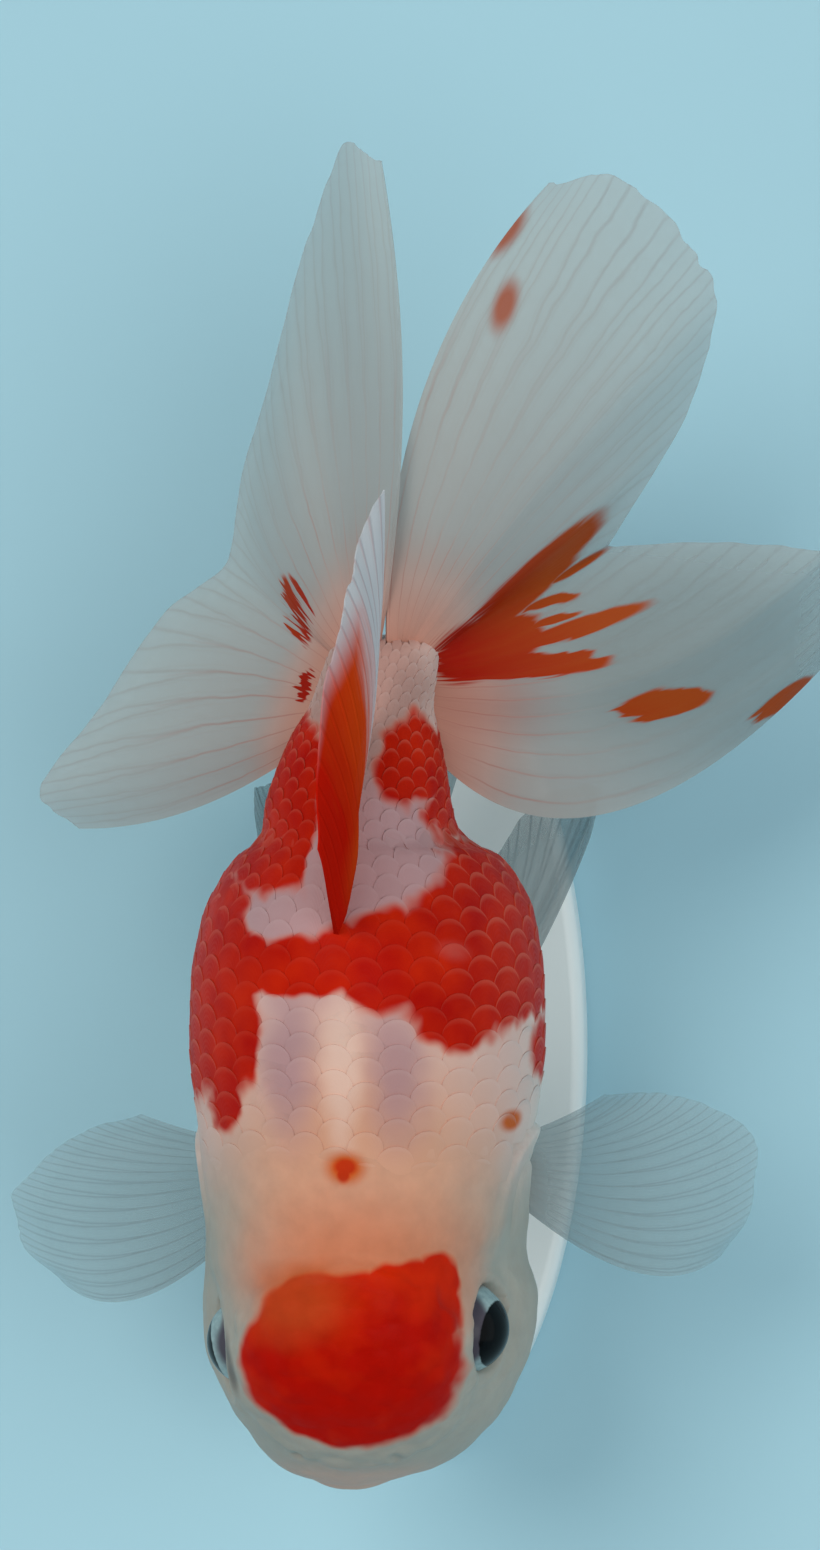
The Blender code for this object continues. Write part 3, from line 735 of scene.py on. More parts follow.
def build_fin(name, nodes, rays, count, grid, material, slot, side, wave, depth, seed):
    """A thin web over branching rays: a grid laid on the fan of rays, rippled, torn and thickened."""
    deselect()
    bpy.ops.mesh.primitive_grid_add(x_subdivisions=grid[0], y_subdivisions=grid[1], size=1.0)
    fin = bpy.context.object
    flat = points_of(fin) + 0.5
    fin.name = name
    fin.data.uv_layers[0].name = "rays"
    u, v = flat[:, 0], flat[:, 1]
    root, middle, tip = fin_ray(rays, u)
    t = (v * (1.0 - ragged(u, count, depth, seed)))[:, None]
    points = root * (1 - t) * (1 - 2 * t) + middle * 4 * t * (1 - t) + tip * t * (2 * t - 1)
    points[:, 0] *= side
    place_points(fin, points)
    swell = np.sin(2 * math.pi * (u * 1.6 + 0.35 * v) + seed)
    swell += 0.30 * np.sin(2 * math.pi * 4.3 * u + 2.1 * seed)
    ripple = wave * swell * smooth(0.15, 1.0, v)
    place_points(fin, points + normals_of(fin) * ripple[:, None])
    off_ray = np.abs((u * count) % 1.0 - 0.5)
    fork = np.abs(off_ray - FORK_SPREAD * np.clip(v - FORK_START, 0.0, 1.0))
    on_ray = bump(fork, 0.07) * smooth(1.0, 0.85, v)
    outermost = 0.35 + 0.65 * smooth(0.0, 0.10, u) * smooth(1.0, 0.90, u)
    body = FIN_EDGE + (FIN_ROOT - FIN_EDGE) * (1.0 - v) ** 2.2 * outermost + RAY_HEIGHT * on_ray
    group = fin.vertex_groups.new(name="thick")
    for index, share in enumerate(np.clip(body / (FIN_ROOT + RAY_HEIGHT), 0.0, 1.0)):
        group.add([index], float(share), "REPLACE")
    thicken = fin.modifiers.new("thickness", "SOLIDIFY")
    thicken.thickness = (FIN_ROOT + RAY_HEIGHT) * MM
    thicken.offset = 0.0
    thicken.vertex_group = "thick"
    thicken.use_even_offset = False
    bpy.ops.object.modifier_apply(modifier="thickness")
    turn_faces_out()
    shade(fin, 60.0)
    stand_in_for(fin, slot, material, *nodes)
    return fin


def build_eye(label, side, material):
    """A glassy ball that looks out and a little forward, its clear front bulging slightly."""
    rise, ahead = (math.radians(degrees) for degrees in GAZES[side])
    level = math.cos(rise)
    gaze = Vector((side * level * math.cos(ahead), -level * math.sin(ahead), math.sin(rise)))
    deselect()
    bpy.ops.mesh.primitive_uv_sphere_add(segments=64, ring_count=60, radius=1.0)
    eye = bpy.context.object
    eye.name = f"eye_ball_{label}"
    ball = points_of(eye)
    away = np.degrees(np.arccos(np.clip(ball[:, 2], -1.0, 1.0)))
    radius = EYE_RADIUS + CORNEA_BULGE * bump(away, 26.0) - IRIS_GROOVE * bump(away - 58.0, 9.0)
    turn = np.array(gaze.to_track_quat("Z", "Y").to_matrix())
    place_points(eye, np.array(EYE_PLACES[side]) + (ball @ turn.T) * radius[:, None])
    upward = (ball @ turn.T)[:, 2] - math.sin(rise) * ball[:, 2] - PALER_TOPS[side]
    keep_values(eye, "away", away)
    keep_values(eye, "upward", upward)
    eye.data.shade_smooth()
    stand_in_for(eye, "eye", material, f"eye_{label}")
    return eye


# A border that eases in and out.
SOFT = {"interpolation_type": "SMOOTHSTEP"}


def linear(hex_colour):
    """A display colour such as #C0A080 as the linear light that shaders use."""
    channels = (int(hex_colour[i : i + 2], 16) / 255 for i in (1, 3, 5))
    return (*(c / 12.92 if c <= 0.04045 else ((c + 0.055) / 1.055) ** 2.4 for c in channels), 1.0)


def put(tree, kind, feeds=None, **settings):
    """Adds a shader node with its settings.

    Each feed is a number, a display colour such as #C0A080, or what links into it: an output,
    or a node, whose first output in use is meant.
    """
    node = tree.nodes.new(kind if kind.startswith("Node") else "ShaderNode" + kind)
    for label, value in settings.items():
        setattr(node, label, value)
    for key, value in (feeds or {}).items():
        if isinstance(value, bpy.types.Node):
            value = next(output for output in value.outputs if output.enabled)
        if isinstance(value, bpy.types.NodeSocket):
            tree.links.new(value, node.inputs[key])
        else:
            node.inputs[key].default_value = linear(value) if isinstance(value, str) else value
    return node


def new_material(name):
    """An empty material and its tree."""
    made = bpy.data.materials.new(name)
    made.use_nodes = True
    made.node_tree.nodes.clear()
    return made, made.node_tree


def close(tree, shader):
    put(tree, "OutputMaterial", {"Surface": shader})


def from_axis(tree):
    """Object coordinates in millimetres from the fish's axis."""
    place = put(tree, "TexCoord").outputs["Object"]
    return put(
        tree, "VectorMath", {0: place, 1: (1 / MM,) * 3, 2: (0.0, 0.0, -AXIS)}, operation="MULTIPLY_ADD"
    )


def patch(tree, place, centre, radii, turn=0.0, soft=0.12):
    """1 inside an ellipse seen from above, or an ellipsoid, 0 outside it, with a soft border."""
    local = put(
        tree, "Mapping",
        {
            "Vector": place, "Location": (*centre, 0.0)[:3], "Rotation": (0.0, 0.0, math.radians(turn)),
            "Scale": (*radii, 1000.0)[:3],
        },
        vector_type="TEXTURE",
    )
    away = put(tree, "VectorMath", {0: local}, operation="LENGTH")
    return put(tree, "MapRange", {"Value": away, "From Min": 1 + soft, "From Max": 1 - soft}, **SOFT)


def patches(tree, place, table, rounding=0.0):
    """1 inside any of the table's ellipses. Rounding fills the sharp corners where they meet."""
    found = None
    for row in table:
        new = patch(tree, place, *row)
        if found is None:
            found = new
        elif rounding:
            found = put(tree, "Math", {0: found, 1: new, 2: rounding}, operation="SMOOTH_MAX")
        else:
            found = put(tree, "Math", {0: found, 1: new}, operation="MAXIMUM")
    if rounding:
        found = put(tree, "MapRange", {"Value": found, "From Min": rounding / 2, "From Max": 1.0})
    return found


# Marks on the body from above: centre, radii, turn in degrees and softness of the border.
CAP_MARKS = (
    ((0.4, -28.3), (10.9, 8.9), 0.0, 0.06),
    ((6.2, -23.6), (4.9, 5.2), 0.0, 0.10),
    ((8.7, -21.2), (2.2, 3.4), 0.0, 0.15),
)
BODY_MARKS = (
    ((4.4, 10.9), (5.2, 5.3), 0.0, 0.17),
    ((12.4, 11.2), (7.8, 8.2), 0.0, 0.14),
    ((13.8, 17.6), (5.4, 5.3), 0.0, 0.17),
    ((11.3, 4.8), (3.8, 3.0), 0.0, 0.24),
    ((-9.2, 10.2), (3.4, 3.2), 0.0, 0.16),
    ((-3.8, 10.1), (6.2, 3.0), 3.0, 0.20),
    ((-11.8, 3.8), (4.4, 7.2), 0.0, 0.17),
    ((-11.9, -3.5), (2.0, 2.5), 0.0, 0.34),
    ((-16.4, 9.0), (4.6, 13.2), 0.0, 0.14),
    ((-12.4, 13.6), (3.9, 6.0), 0.0, 0.20),
    ((-7.4, 21.6), (5.4, 4.6), 0.0, 0.17),
    ((-5.7, 28.6), (3.7, 7.6), 8.0, 0.17),
    ((6.2, 30.4), (3.4, 4.9), -8.0, 0.17),
    ((9.6, 25.4), (2.2, 4.2), 0.0, 0.26),
    ((11.8, 21.8), (2.2, 2.8), 0.0, 0.30),
    ((-14.6, 20.4), (3.0, 4.6), 0.0, 0.25),
    ((-9.8, 25.6), (2.6, 4.4), 0.0, 0.25),
    ((0.4, 12.6), (2.6, 2.2), 0.0, 0.30),
)
# How much the corners between the saddle's ellipses are filled.
SADDLE_ROUNDING = 0.4
# A patch low on the left flank, ahead of the saddle.
FLANK_MARKS = (
    ((18.0, 1.6, -1.0), (3.0, 3.3, 6.5), 0.0, 0.30),
)
# Painted shadow in the crease over the right eye.
SOCKET_SHADOWS = (
    ((-12.0, -28.6), (0.34, 2.2), 9.7, 0.95),
    ((-11.75, -30.0), (0.46, 1.9), 9.7, 0.70),
)
# The shadow between the lips, and an orange veil over the cap's rear right corner.
MOUTH_SHADOW = ((-1.9, -41.8, -1.4), (2.9, 2.6, 0.62), 0.0, 0.45)
CAP_VEIL = ((-4.6, -22.2), (4.8, 3.9), 20.0, 0.60)
# Small red spots on the nape and the right flank, then orange ones.
SPOTS = (
    ((0.6, -9.2), (1.2, 0.9), 0.0, 0.40),
    ((0.4, -9.9), (0.7, 0.9), 0.0, 0.40),
    ((-16.9, -6.0, 4.6), (0.8, 0.8, 1.8), 0.0, 0.60),
)
ORANGE_SPOTS = (
    ((0.6, -9.3), (1.8, 1.5), 0.0, 0.50),
    ((15.7, -5.3, 8.6), (1.7, 1.05, 3.0), 0.0, 0.45),
)
# Pearl gaps in the saddle, and a faint one.
PALE_GAPS = (
    ((-5.7, 15.2), (3.9, 2.3), 6.0, 0.16),
    ((-1.4, 19.0), (1.8, 5.0), 0.0, 0.20),
)
FAINT_GAP = ((10.7, 11.7), (1.1, 0.7), -20.0, 0.95)
# Parts of the head whose colour changes gently. On the red cap, the crown is painted light and the brow
# painted shade.
HEAD_AREA = ((0.0, -30.0), (30.0, 23.0), 0.0, 0.25)
SNOUT_AREA = ((-1.0, -41.5, 0.5), (7.5, 5.0, 9.0), 0.0, 0.5)
BROW_SHADE_AREA = ((0.4, -35.5), (12.0, 11.0), 0.0, 0.6)
CROWN_LIGHT_AREA = ((0.4, -20.5), (9.0, 6.0), 0.0, 0.6)


def flank_edges(tree, place, height):
    """How far the red's borders wander down the flanks, and 1 above its uneven hem."""
    broad = put(tree, "TexNoise", {"Vector": place, "Scale": 0.12, "Detail": 3.0, "Roughness": 0.6})
    low = put(
        tree, "MapRange", {"Value": height, "From Min": 14.0, "From Max": 4.0, "To Max": FLANK_SWAY},
        **SOFT,
    )
    sway = put(tree, "VectorMath", {0: broad.outputs["Color"], 1: (0.5,) * 3}, operation="SUBTRACT")
    sway = put(tree, "VectorMath", {0: sway, "Scale": low}, operation="SCALE")
    hem = put(tree, "Math", {0: broad, 1: 22.0, 2: height}, operation="MULTIPLY_ADD")
    return sway, put(tree, "MapRange", {"Value": hem, "From Min": 1.0, "From Max": 3.0}, **SOFT)


def red_areas(tree, place, less, warped, height):
    """1 where the fish is red, the same for its cap alone, and 1 above the cheeks."""
    sway, upper = flank_edges(tree, place, height)
    swayed = put(tree, "VectorMath", {0: sway, 1: (0.0, 1.0, 0.0), 2: warped}, operation="MULTIPLY_ADD")
    saddle = patches(tree, swayed, BODY_MARKS, SADDLE_ROUNDING)
    saddle = put(tree, "Math", {0: saddle, 1: patches(tree, less, FLANK_MARKS)}, operation="MAXIMUM")

    faint = put(tree, "Math", {0: patch(tree, place, *FAINT_GAP), 1: 0.10}, operation="MULTIPLY")
    gaps = put(tree, "Math", {0: patches(tree, warped, PALE_GAPS), 1: faint}, operation="MAXIMUM")
    on_back = put(tree, "MapRange", {"Value": height, "From Min": 9.0, "From Max": 14.0}, **SOFT)
    gaps = put(tree, "Math", {0: gaps, 1: on_back}, operation="MULTIPLY")
    keep = put(tree, "Math", {0: 1.0, 1: gaps}, operation="SUBTRACT")
    for limit in (keep, upper):
        saddle = put(tree, "Math", {0: saddle, 1: limit}, operation="MULTIPLY")

    above_cheek = put(tree, "MapRange", {"Value": height, "From Min": 6.0, "From Max": 8.5}, **SOFT)
    cap = put(tree, "Math", {0: patches(tree, less, CAP_MARKS), 1: above_cheek}, operation="MULTIPLY")
    low_ends = put(tree, "MapRange", {"Value": height, "From Min": -2.0, "From Max": 2.0})
    spots = patches(tree, place, SPOTS)
    for limit in (low_ends, 0.85):
        spots = put(tree, "Math", {0: spots, 1: limit}, operation="MULTIPLY")
    red = put(tree, "Math", {0: cap, 1: saddle}, operation="MAXIMUM")
    return put(tree, "Math", {0: red, 1: spots}, operation="MAXIMUM"), cap, above_cheek


def white_flesh(tree, place, less, height):
    """Silver below, warm pearl above, greyer cheeks, and the back's soft tones, with painted shade and a
    painted highlight along its ridge.
    """
    back = put(tree, "MapRange", {"Value": height, "From Min": -12.0, "From Max": 14.0}, **SOFT)
    tone = put(tree, "Mix", {0: back, 6: BELLY_SILVER, 7: PEARL_BACK}, data_type="RGBA")
    for area, over in ((HEAD_AREA, CHEEK_GREY), (SNOUT_AREA, SNOUT_PINK)):
        where = patch(tree, place, *area)
        tone = put(tree, "Mix", {0: where, 6: tone, 7: over}, data_type="RGBA")
    for centre, radii, soft, share, over in BACK_TONES_AND_RIDGE_SHADING:
        where = patch(tree, less, centre, radii, 0.0, soft)
        high = put(
            tree, "MapRange", {"Value": height, "From Min": 5.0, "From Max": 13.0, "To Max": share},
            **SOFT,
        )
        where = put(tree, "Math", {0: where, 1: high}, operation="MULTIPLY")
        tone = put(tree, "Mix", {0: where, 6: tone, 7: over}, data_type="RGBA")
    dots = patches(tree, place, ORANGE_SPOTS)
    return put(tree, "Mix", {0: dots, 6: tone, 7: SPOT_ORANGE}, data_type="RGBA")


def red_flesh(tree, place, less, red):
    """Deepest inside each mark, and more orange where the noise runs high and at the borders."""
    warm = put(tree, "TexNoise", {"Vector": place, "Scale": 0.22, "Detail": 2.0})
    # Painted light on the cap's crown and painted shade over its brow.
    for area, warmer in ((CROWN_LIGHT_AREA, 0.14), (BROW_SHADE_AREA, -0.26)):
        where = patch(tree, less, *area)
        warm = put(tree, "Math", {0: where, 1: warmer, 2: warm}, operation="MULTIPLY_ADD")
    warm = put(tree, "MapRange", {"Value": warm, "From Min": 0.30, "From Max": 0.80})
    deep = put(tree, "Mix", {0: warm, 6: RED_DEEP, 7: RED_WARM}, data_type="RGBA")
    border = put(tree, "MapRange", {"Value": red, "From Min": 0.25, "From Max": 0.95})
    return put(tree, "Mix", {0: border, 6: RED_BORDER, 7: deep}, data_type="RGBA")


def markings(tree, place, stepped=None):
    """The fish's colour, painted shade and highlights included, and how red it is, for places in
    millimetres from its axis.

    The borders of the red follow the stepped places where they are given, as on single scales.
    """
    coarse = put(tree, "TexNoise", {"Vector": place, "Scale": 0.30, "Detail": 1.2, "Roughness": 0.5})
    shift = put(tree, "VectorMath", {0: coarse.outputs["Color"], 1: (0.5,) * 3}, operation="SUBTRACT")
    warped, less = (
        put(tree, "VectorMath", {0: shift, 1: (by,) * 3, 2: where}, operation="MULTIPLY_ADD")
        for by, where in ((2.6, stepped or place), (1.8, place))
    )
    height = put(tree, "SeparateXYZ", {0: warped}).outputs["Z"]
    red, cap, above_cheek = red_areas(tree, place, less, warped, height)
    white = white_flesh(tree, place, less, height)
    colour = put(tree, "Mix", {0: red, 6: white, 7: red_flesh(tree, place, less, red)}, data_type="RGBA")

    # Painted shadow over the right eye and between the lips, and an orange veil over the cap.
    layers = (
        (patches(tree, place, SOCKET_SHADOWS), (above_cheek, 0.60), SOCKET_SHADOW_DARK),
        (patch(tree, less, *CAP_VEIL), (0.7, cap), VEIL_ORANGE),
        (patch(tree, place, *MOUTH_SHADOW), (0.8,), LIP_SHADOW),
    )
    for where, limits, over in layers:
        for limit in limits:
            where = put(tree, "Math", {0: where, 1: limit}, operation="MULTIPLY")
        colour = put(tree, "Mix", {0: where, 6: colour, 7: over}, data_type="RGBA")
    return colour, red


def skin_material():
    """Live skin under a film of slime: soft inside, with a smooth wet gloss and fine pores."""
    made, tree = new_material("wet_fish_skin")
    place = from_axis(tree)
    colour, _ = markings(tree, place)
    pores = put(tree, "TexVoronoi", {"Vector": place, "Scale": 1.5})
    cloud = put(tree, "TexNoise", {"Vector": place, "Scale": 0.5, "Detail": 4.0})
    clouded = {"Value": cloud, "From Min": 0.3, "From Max": 0.7}
    speck = put(tree, "MapRange", {**clouded, "To Min": 0.94, "To Max": 1.05})
    colour = put(tree, "VectorMath", {0: colour, 1: speck}, operation="MULTIPLY")
    rough = put(tree, "MapRange", {**clouded, "To Min": 0.36, "To Max": 0.5})
    height = put(tree, "Math", {0: pores, 1: 0.5}, operation="MULTIPLY")
    dents = put(tree, "Bump", {"Strength": 0.25, "Distance": 0.12 * MM, "Height": height})
    shader = put(
        tree, "BsdfPrincipled",
        {
            "Base Color": colour, "Roughness": rough, "Normal": dents, "Subsurface Weight": 0.12,
            "Subsurface Radius": (1.0, 0.42, 0.28), "Subsurface Scale": 1.6 * MM,
            "Specular IOR Level": 0.05, "IOR": TISSUE_IOR,
        },
    )
    close(tree, shader)
    return made


def scale_material():
    """Guanine-backed scales: pearly, with pale free edges that draw a net over the red."""
    made, tree = new_material("pearly_scales")
    place = from_axis(tree)
    own = put(tree, "Attribute", attribute_name="scale_place").outputs["Vector"]
    edge, tint, across, back = (
        put(tree, "Attribute", attribute_name=label).outputs["Fac"]
        for label in ("free_edge", "tint", "across", "back")
    )
    stepped = put(tree, "Mix", {0: SCALE_STEP, 4: place, 5: own}, data_type="VECTOR")
    colour, red = markings(tree, place, stepped)
    shade_by = put(tree, "MapRange", {"Value": tint, "To Min": 0.96, "To Max": 1.03})
    colour = put(tree, "VectorMath", {0: colour, 1: shade_by}, operation="MULTIPLY")
    height = put(tree, "SeparateXYZ", {0: place}).outputs["Z"]
    net = put(
        tree, "MapRange",
        {"Value": height, "From Min": 22.0, "From Max": 10.0, "To Min": 0.06, "To Max": 0.5},
    )
    down = put(tree, "MapRange", {"Value": height, "From Min": 14.0, "From Max": 6.0})
    pale_rim = put(tree, "Mix", {0: down, 6: EDGE_PEARL, 7: EDGE_SILVER}, data_type="RGBA")
    rim = put(tree, "Mix", {0: red, 6: pale_rim, 7: EDGE_PINK}, data_type="RGBA")
    pale_net = put(tree, "MapRange", {"Value": down, "To Min": 0.06, "To Max": 0.32})
    share = put(tree, "Mix", {0: red, 2: pale_net, 3: net})
    share = put(tree, "Math", {0: share, 1: edge}, operation="MULTIPLY")
    colour = put(tree, "Mix", {0: share, 6: colour, 7: rim}, data_type="RGBA")
    # Growth rings: fine arcs round the root, drawn a little coarser than life so that they show.
    flat = put(tree, "CombineXYZ", {"X": across, "Y": back})
    rings = put(
        tree, "TexWave", {"Vector": flat, "Scale": 2.6, "Distortion": 0.6, "Detail": 1.0},
        wave_type="RINGS", rings_direction="Z",
    ).outputs["Fac"]
    lines = put(tree, "Bump", {"Strength": 0.12, "Distance": 0.03 * MM, "Height": rings})
    rough = put(tree, "MapRange", {"Value": rings, "To Min": 0.38, "To Max": 0.48})
    shader = put(
        tree, "BsdfPrincipled",
        {
            "Base Color": colour, "Roughness": rough, "Normal": lines,
            "Specular IOR Level": 0.05, "IOR": TISSUE_IOR,
        },
    )
    close(tree, shader)
    return made


def fin_place(tree):
    """Where a point lies on a fin's web: share u from its front ray, and share v out to its tip."""
    lie = put(tree, "SeparateXYZ", {0: put(tree, "UVMap", uv_map="rays")})
    return lie.outputs["X"], lie.outputs["Y"]


def fin_rays(tree, place, u, v, count, look):
    """Rays that fork outwards with finer lines between, and blood vessels beside some of them.

    Gives how strongly a ray and a vessel show, and how many rays lie before each place.
    """
    wobble = put(tree, "TexNoise", {"Vector": place, "Scale": 0.25, "Detail": 2.0})
    uneven = put(tree, "Math", {0: wobble, 1: 0.012, 2: u}, operation="MULTIPLY_ADD")
    step = put(tree, "Math", {0: uneven, 1: float(count)}, operation="MULTIPLY")
    phase = put(tree, "Math", {0: step}, operation="FRACT")
    off_ray = put(tree, "Math", {0: phase, 1: 0.5}, operation="SUBTRACT")
    off_ray = put(tree, "Math", {0: off_ray}, operation="ABSOLUTE")
    open_by = put(
        tree, "MapRange",
        {"Value": v, "From Min": FORK_START, "From Max": 1.0, "To Max": FORK_SPREAD * (1 - FORK_START)},
    )
    off_fork = put(tree, "Math", {0: off_ray, 1: open_by}, operation="SUBTRACT")
    off_fork = put(tree, "Math", {0: off_fork}, operation="ABSOLUTE")
    ray = put(
        tree, "MapRange", {"Value": off_fork, "From Min": 0.075, "From Max": 0.01, "To Max": look["lines"]},
        **SOFT,
    )
    fine = put(tree, "Math", {0: uneven, 1: count * 4.0}, operation="MULTIPLY")
    fine = put(tree, "Math", {0: fine, 1: 1.0}, operation="PINGPONG")
    fine = put(tree, "MapRange", {"Value": fine, "From Min": 0.75, "From Max": 1.0, "To Max": look["fine"]})
    ray = put(tree, "Math", {0: ray, 1: fine}, operation="MAXIMUM")

    vessel = put(tree, "MapRange", {"Value": off_ray, "From Min": 0.07, "From Max": 0.01}, **SOFT)
    some = put(tree, "TexNoise", {"Vector": place, "Scale": 0.09, "Detail": 1.0})
    some = put(tree, "MapRange", {"Value": some, "From Min": 0.40, "From Max": 0.60, "To Min": 0.25})
    inner = put(
        tree, "MapRange", {"Value": v, "From Min": 0.80, "From Max": 0.25, "To Max": look["vessels"]}
    )
    for limit in (some, inner):
        vessel = put(tree, "Math", {0: vessel, 1: limit}, operation="MULTIPLY")
    return ray, vessel, step


def red_on_fin(tree, place, v, step, marks, spots):
    """Red marks that feather out along the rays, and small spots: how strongly, and how coloured."""
    streak = put(tree, "CombineXYZ", {"X": step, "Y": v})
    feather = put(tree, "TexNoise", {"Vector": streak, "Scale": 2.4, "Detail": 2.0})
    shift = put(tree, "Math", {0: feather, 1: 0.5}, operation="SUBTRACT")
    swept = put(tree, "CombineXYZ", {"X": shift, "Y": shift})
    swept = put(tree, "VectorMath", {0: swept, 1: (5.0, 3.0, 0.0), 2: place}, operation="MULTIPLY_ADD")
    mark = put(tree, "Math", {0: shift, 1: 1.0, 2: patches(tree, swept, marks)}, operation="MULTIPLY_ADD")
    mark = put(tree, "MapRange", {"Value": mark, "From Min": 0.22, "From Max": 0.72}, **SOFT)
    if spots:
        dots = put(tree, "Math", {0: patches(tree, place, spots), 1: 0.85}, operation="MULTIPLY")
        mark = put(tree, "Math", {0: mark, 1: dots}, operation="MAXIMUM")
    outward = put(tree, "MapRange", {"Value": v, "From Min": 0.1, "From Max": 0.6})
    outward = put(tree, "Math", {0: feather, 1: 0.5, 2: outward}, operation="MULTIPLY_ADD")
    outward = put(tree, "Math", {0: outward, 1: -0.25}, operation="ADD", use_clamp=True)
    return mark, put(tree, "Mix", {0: outward, 6: FIN_RED, 7: FIN_ORANGE}, data_type="RGBA")


def fin_material(name, count, look, marks=(), spots=(), shade_and_taints=()):
    """A wet fin: a clear whitish web between rays that fork, pinker and thicker at the root."""
    made, tree = new_material(name)
    place = from_axis(tree)
    u, v = fin_place(tree)
    ray, vessel, step = fin_rays(tree, place, u, v, count, look)
    inward = put(
        tree, "MapRange", {"Value": v, "From Min": 0.85, "From Max": 0.15, "To Max": look["inner"]}
    )
    flush = put(tree, "MapRange", {"Value": v, "From Min": look["flush"], "From Max": 0.0}, **SOFT)
    margin = put(tree, "MapRange", {"Value": v, "From Min": 0.86, "From Max": 1.0})

    colour = put(tree, "Mix", {0: ray, 6: look["web"], 7: look["ray"]}, data_type="RGBA")
    for where, over in ((inward, WEB_WARM), (flush, look["root"]), (vessel, VESSEL)):
        colour = put(tree, "Mix", {0: where, 6: colour, 7: over}, data_type="RGBA")
    # Painted shade and redder patches laid over the web, each by its share.
    for *mark, share, over in shade_and_taints:
        where = put(tree, "Math", {0: patch(tree, place, *mark), 1: share}, operation="MULTIPLY")
        colour = put(tree, "Mix", {0: where, 6: colour, 7: over}, data_type="RGBA")
    opacity = look["alpha"]
    denser = [(ray, look["ray_alpha"]), (inward, 0.25), (flush, 0.4), (vessel, 0.3), (margin, -0.12)]
    if marks:
        mark, red = red_on_fin(tree, place, v, step, marks, spots)
        colour = put(tree, "Mix", {0: mark, 6: colour, 7: red}, data_type="RGBA")
        denser.append((mark, 0.4))
    for where, gain in denser:
        opacity = put(tree, "Math", {0: where, 1: gain, 2: opacity}, operation="MULTIPLY_ADD")
    opacity = put(tree, "Math", {0: opacity, 1: MOST_OPAQUE}, operation="MINIMUM")
    ridges = put(tree, "Bump", {"Strength": 0.3, "Distance": 0.06 * MM, "Height": ray})
    shader = put(
        tree, "BsdfPrincipled",
        {
            "Base Color": colour, "Roughness": 0.36, "Alpha": opacity, "Normal": ridges,
            "Specular IOR Level": 0.06, "IOR": TISSUE_IOR,
        },
    )
    close(tree, shader)
    return made


def dorsal_material(count):
    """The back fin: deep red on its front rays, orange behind, and white on its last rays and tips."""
    made, tree = new_material("red_back_fin")
    place = from_axis(tree)
    u, v = fin_place(tree)
    streak = put(tree, "CombineXYZ", {"X": u, "Y": v})
    streak = put(tree, "Mapping", {"Vector": streak, "Scale": (22.0, 2.5, 1.0)})
    feather = put(tree, "TexNoise", {"Vector": streak, "Scale": 1.0, "Detail": 3.0})
    broken = put(tree, "Math", {0: feather, 1: 0.22, 2: u}, operation="MULTIPLY_ADD")
    rear = put(tree, "MapRange", {"Value": broken, "From Min": 0.62, "From Max": 0.90}, **SOFT)
    warm = put(tree, "MapRange", {"Value": broken, "From Min": 0.30, "From Max": 0.75})
    base = put(tree, "MapRange", {"Value": v, "From Min": 0.40, "From Max": 0.12, "To Max": 0.85})
    behind = put(tree, "MapRange", {"Value": u, "From Min": 0.06, "From Max": 0.34})
    base = put(tree, "Math", {0: base, 1: behind}, operation="MULTIPLY")
    warm = put(tree, "Math", {0: warm, 1: base}, operation="MAXIMUM")
    tip = put(tree, "Math", {0: u, 1: 0.55, 2: v}, operation="MULTIPLY_ADD")
    tip = put(tree, "MapRange", {"Value": tip, "From Min": 1.08, "From Max": 1.34}, **SOFT)
    white = put(tree, "Math", {0: rear, 1: tip}, operation="MAXIMUM")
    phase = put(tree, "Math", {0: u, 1: float(count)}, operation="MULTIPLY")
    phase = put(tree, "Math", {0: phase, 1: 0.5}, operation="PINGPONG")
    ray = put(tree, "MapRange", {"Value": phase, "From Min": 0.32, "From Max": 0.48}, **SOFT)
    red = put(tree, "Mix", {0: warm, 6: BACK_FIN_RED, 7: BACK_FIN_ORANGE}, data_type="RGBA")
    pale = put(tree, "Mix", {0: ray, 6: BACK_FIN_WHITE, 7: BACK_FIN_RAY}, data_type="RGBA")
    colour = put(tree, "Mix", {0: white, 6: red, 7: pale}, data_type="RGBA")
    opacity = put(tree, "MapRange", {"Value": white, "To Min": 0.95, "To Max": 0.72})
    opacity = put(tree, "Math", {0: ray, 1: 0.15, 2: opacity}, operation="MULTIPLY_ADD")
    opacity = put(tree, "Math", {0: opacity, 1: MOST_OPAQUE}, operation="MINIMUM")
    ridges = put(tree, "Bump", {"Strength": 0.6, "Distance": 0.12 * MM, "Height": ray})
    cloud = put(tree, "TexNoise", {"Vector": place, "Scale": 0.5})
    rough = put(tree, "MapRange", {"Value": cloud, "To Min": 0.5, "To Max": 0.65})
    shader = put(
        tree, "BsdfPrincipled",
        {
            "Base Color": colour, "Roughness": rough, "Alpha": opacity, "Normal": ridges,
            "Specular IOR Level": 0.0, "IOR": TISSUE_IOR,
        },
    )
    close(tree, shader)
    return made


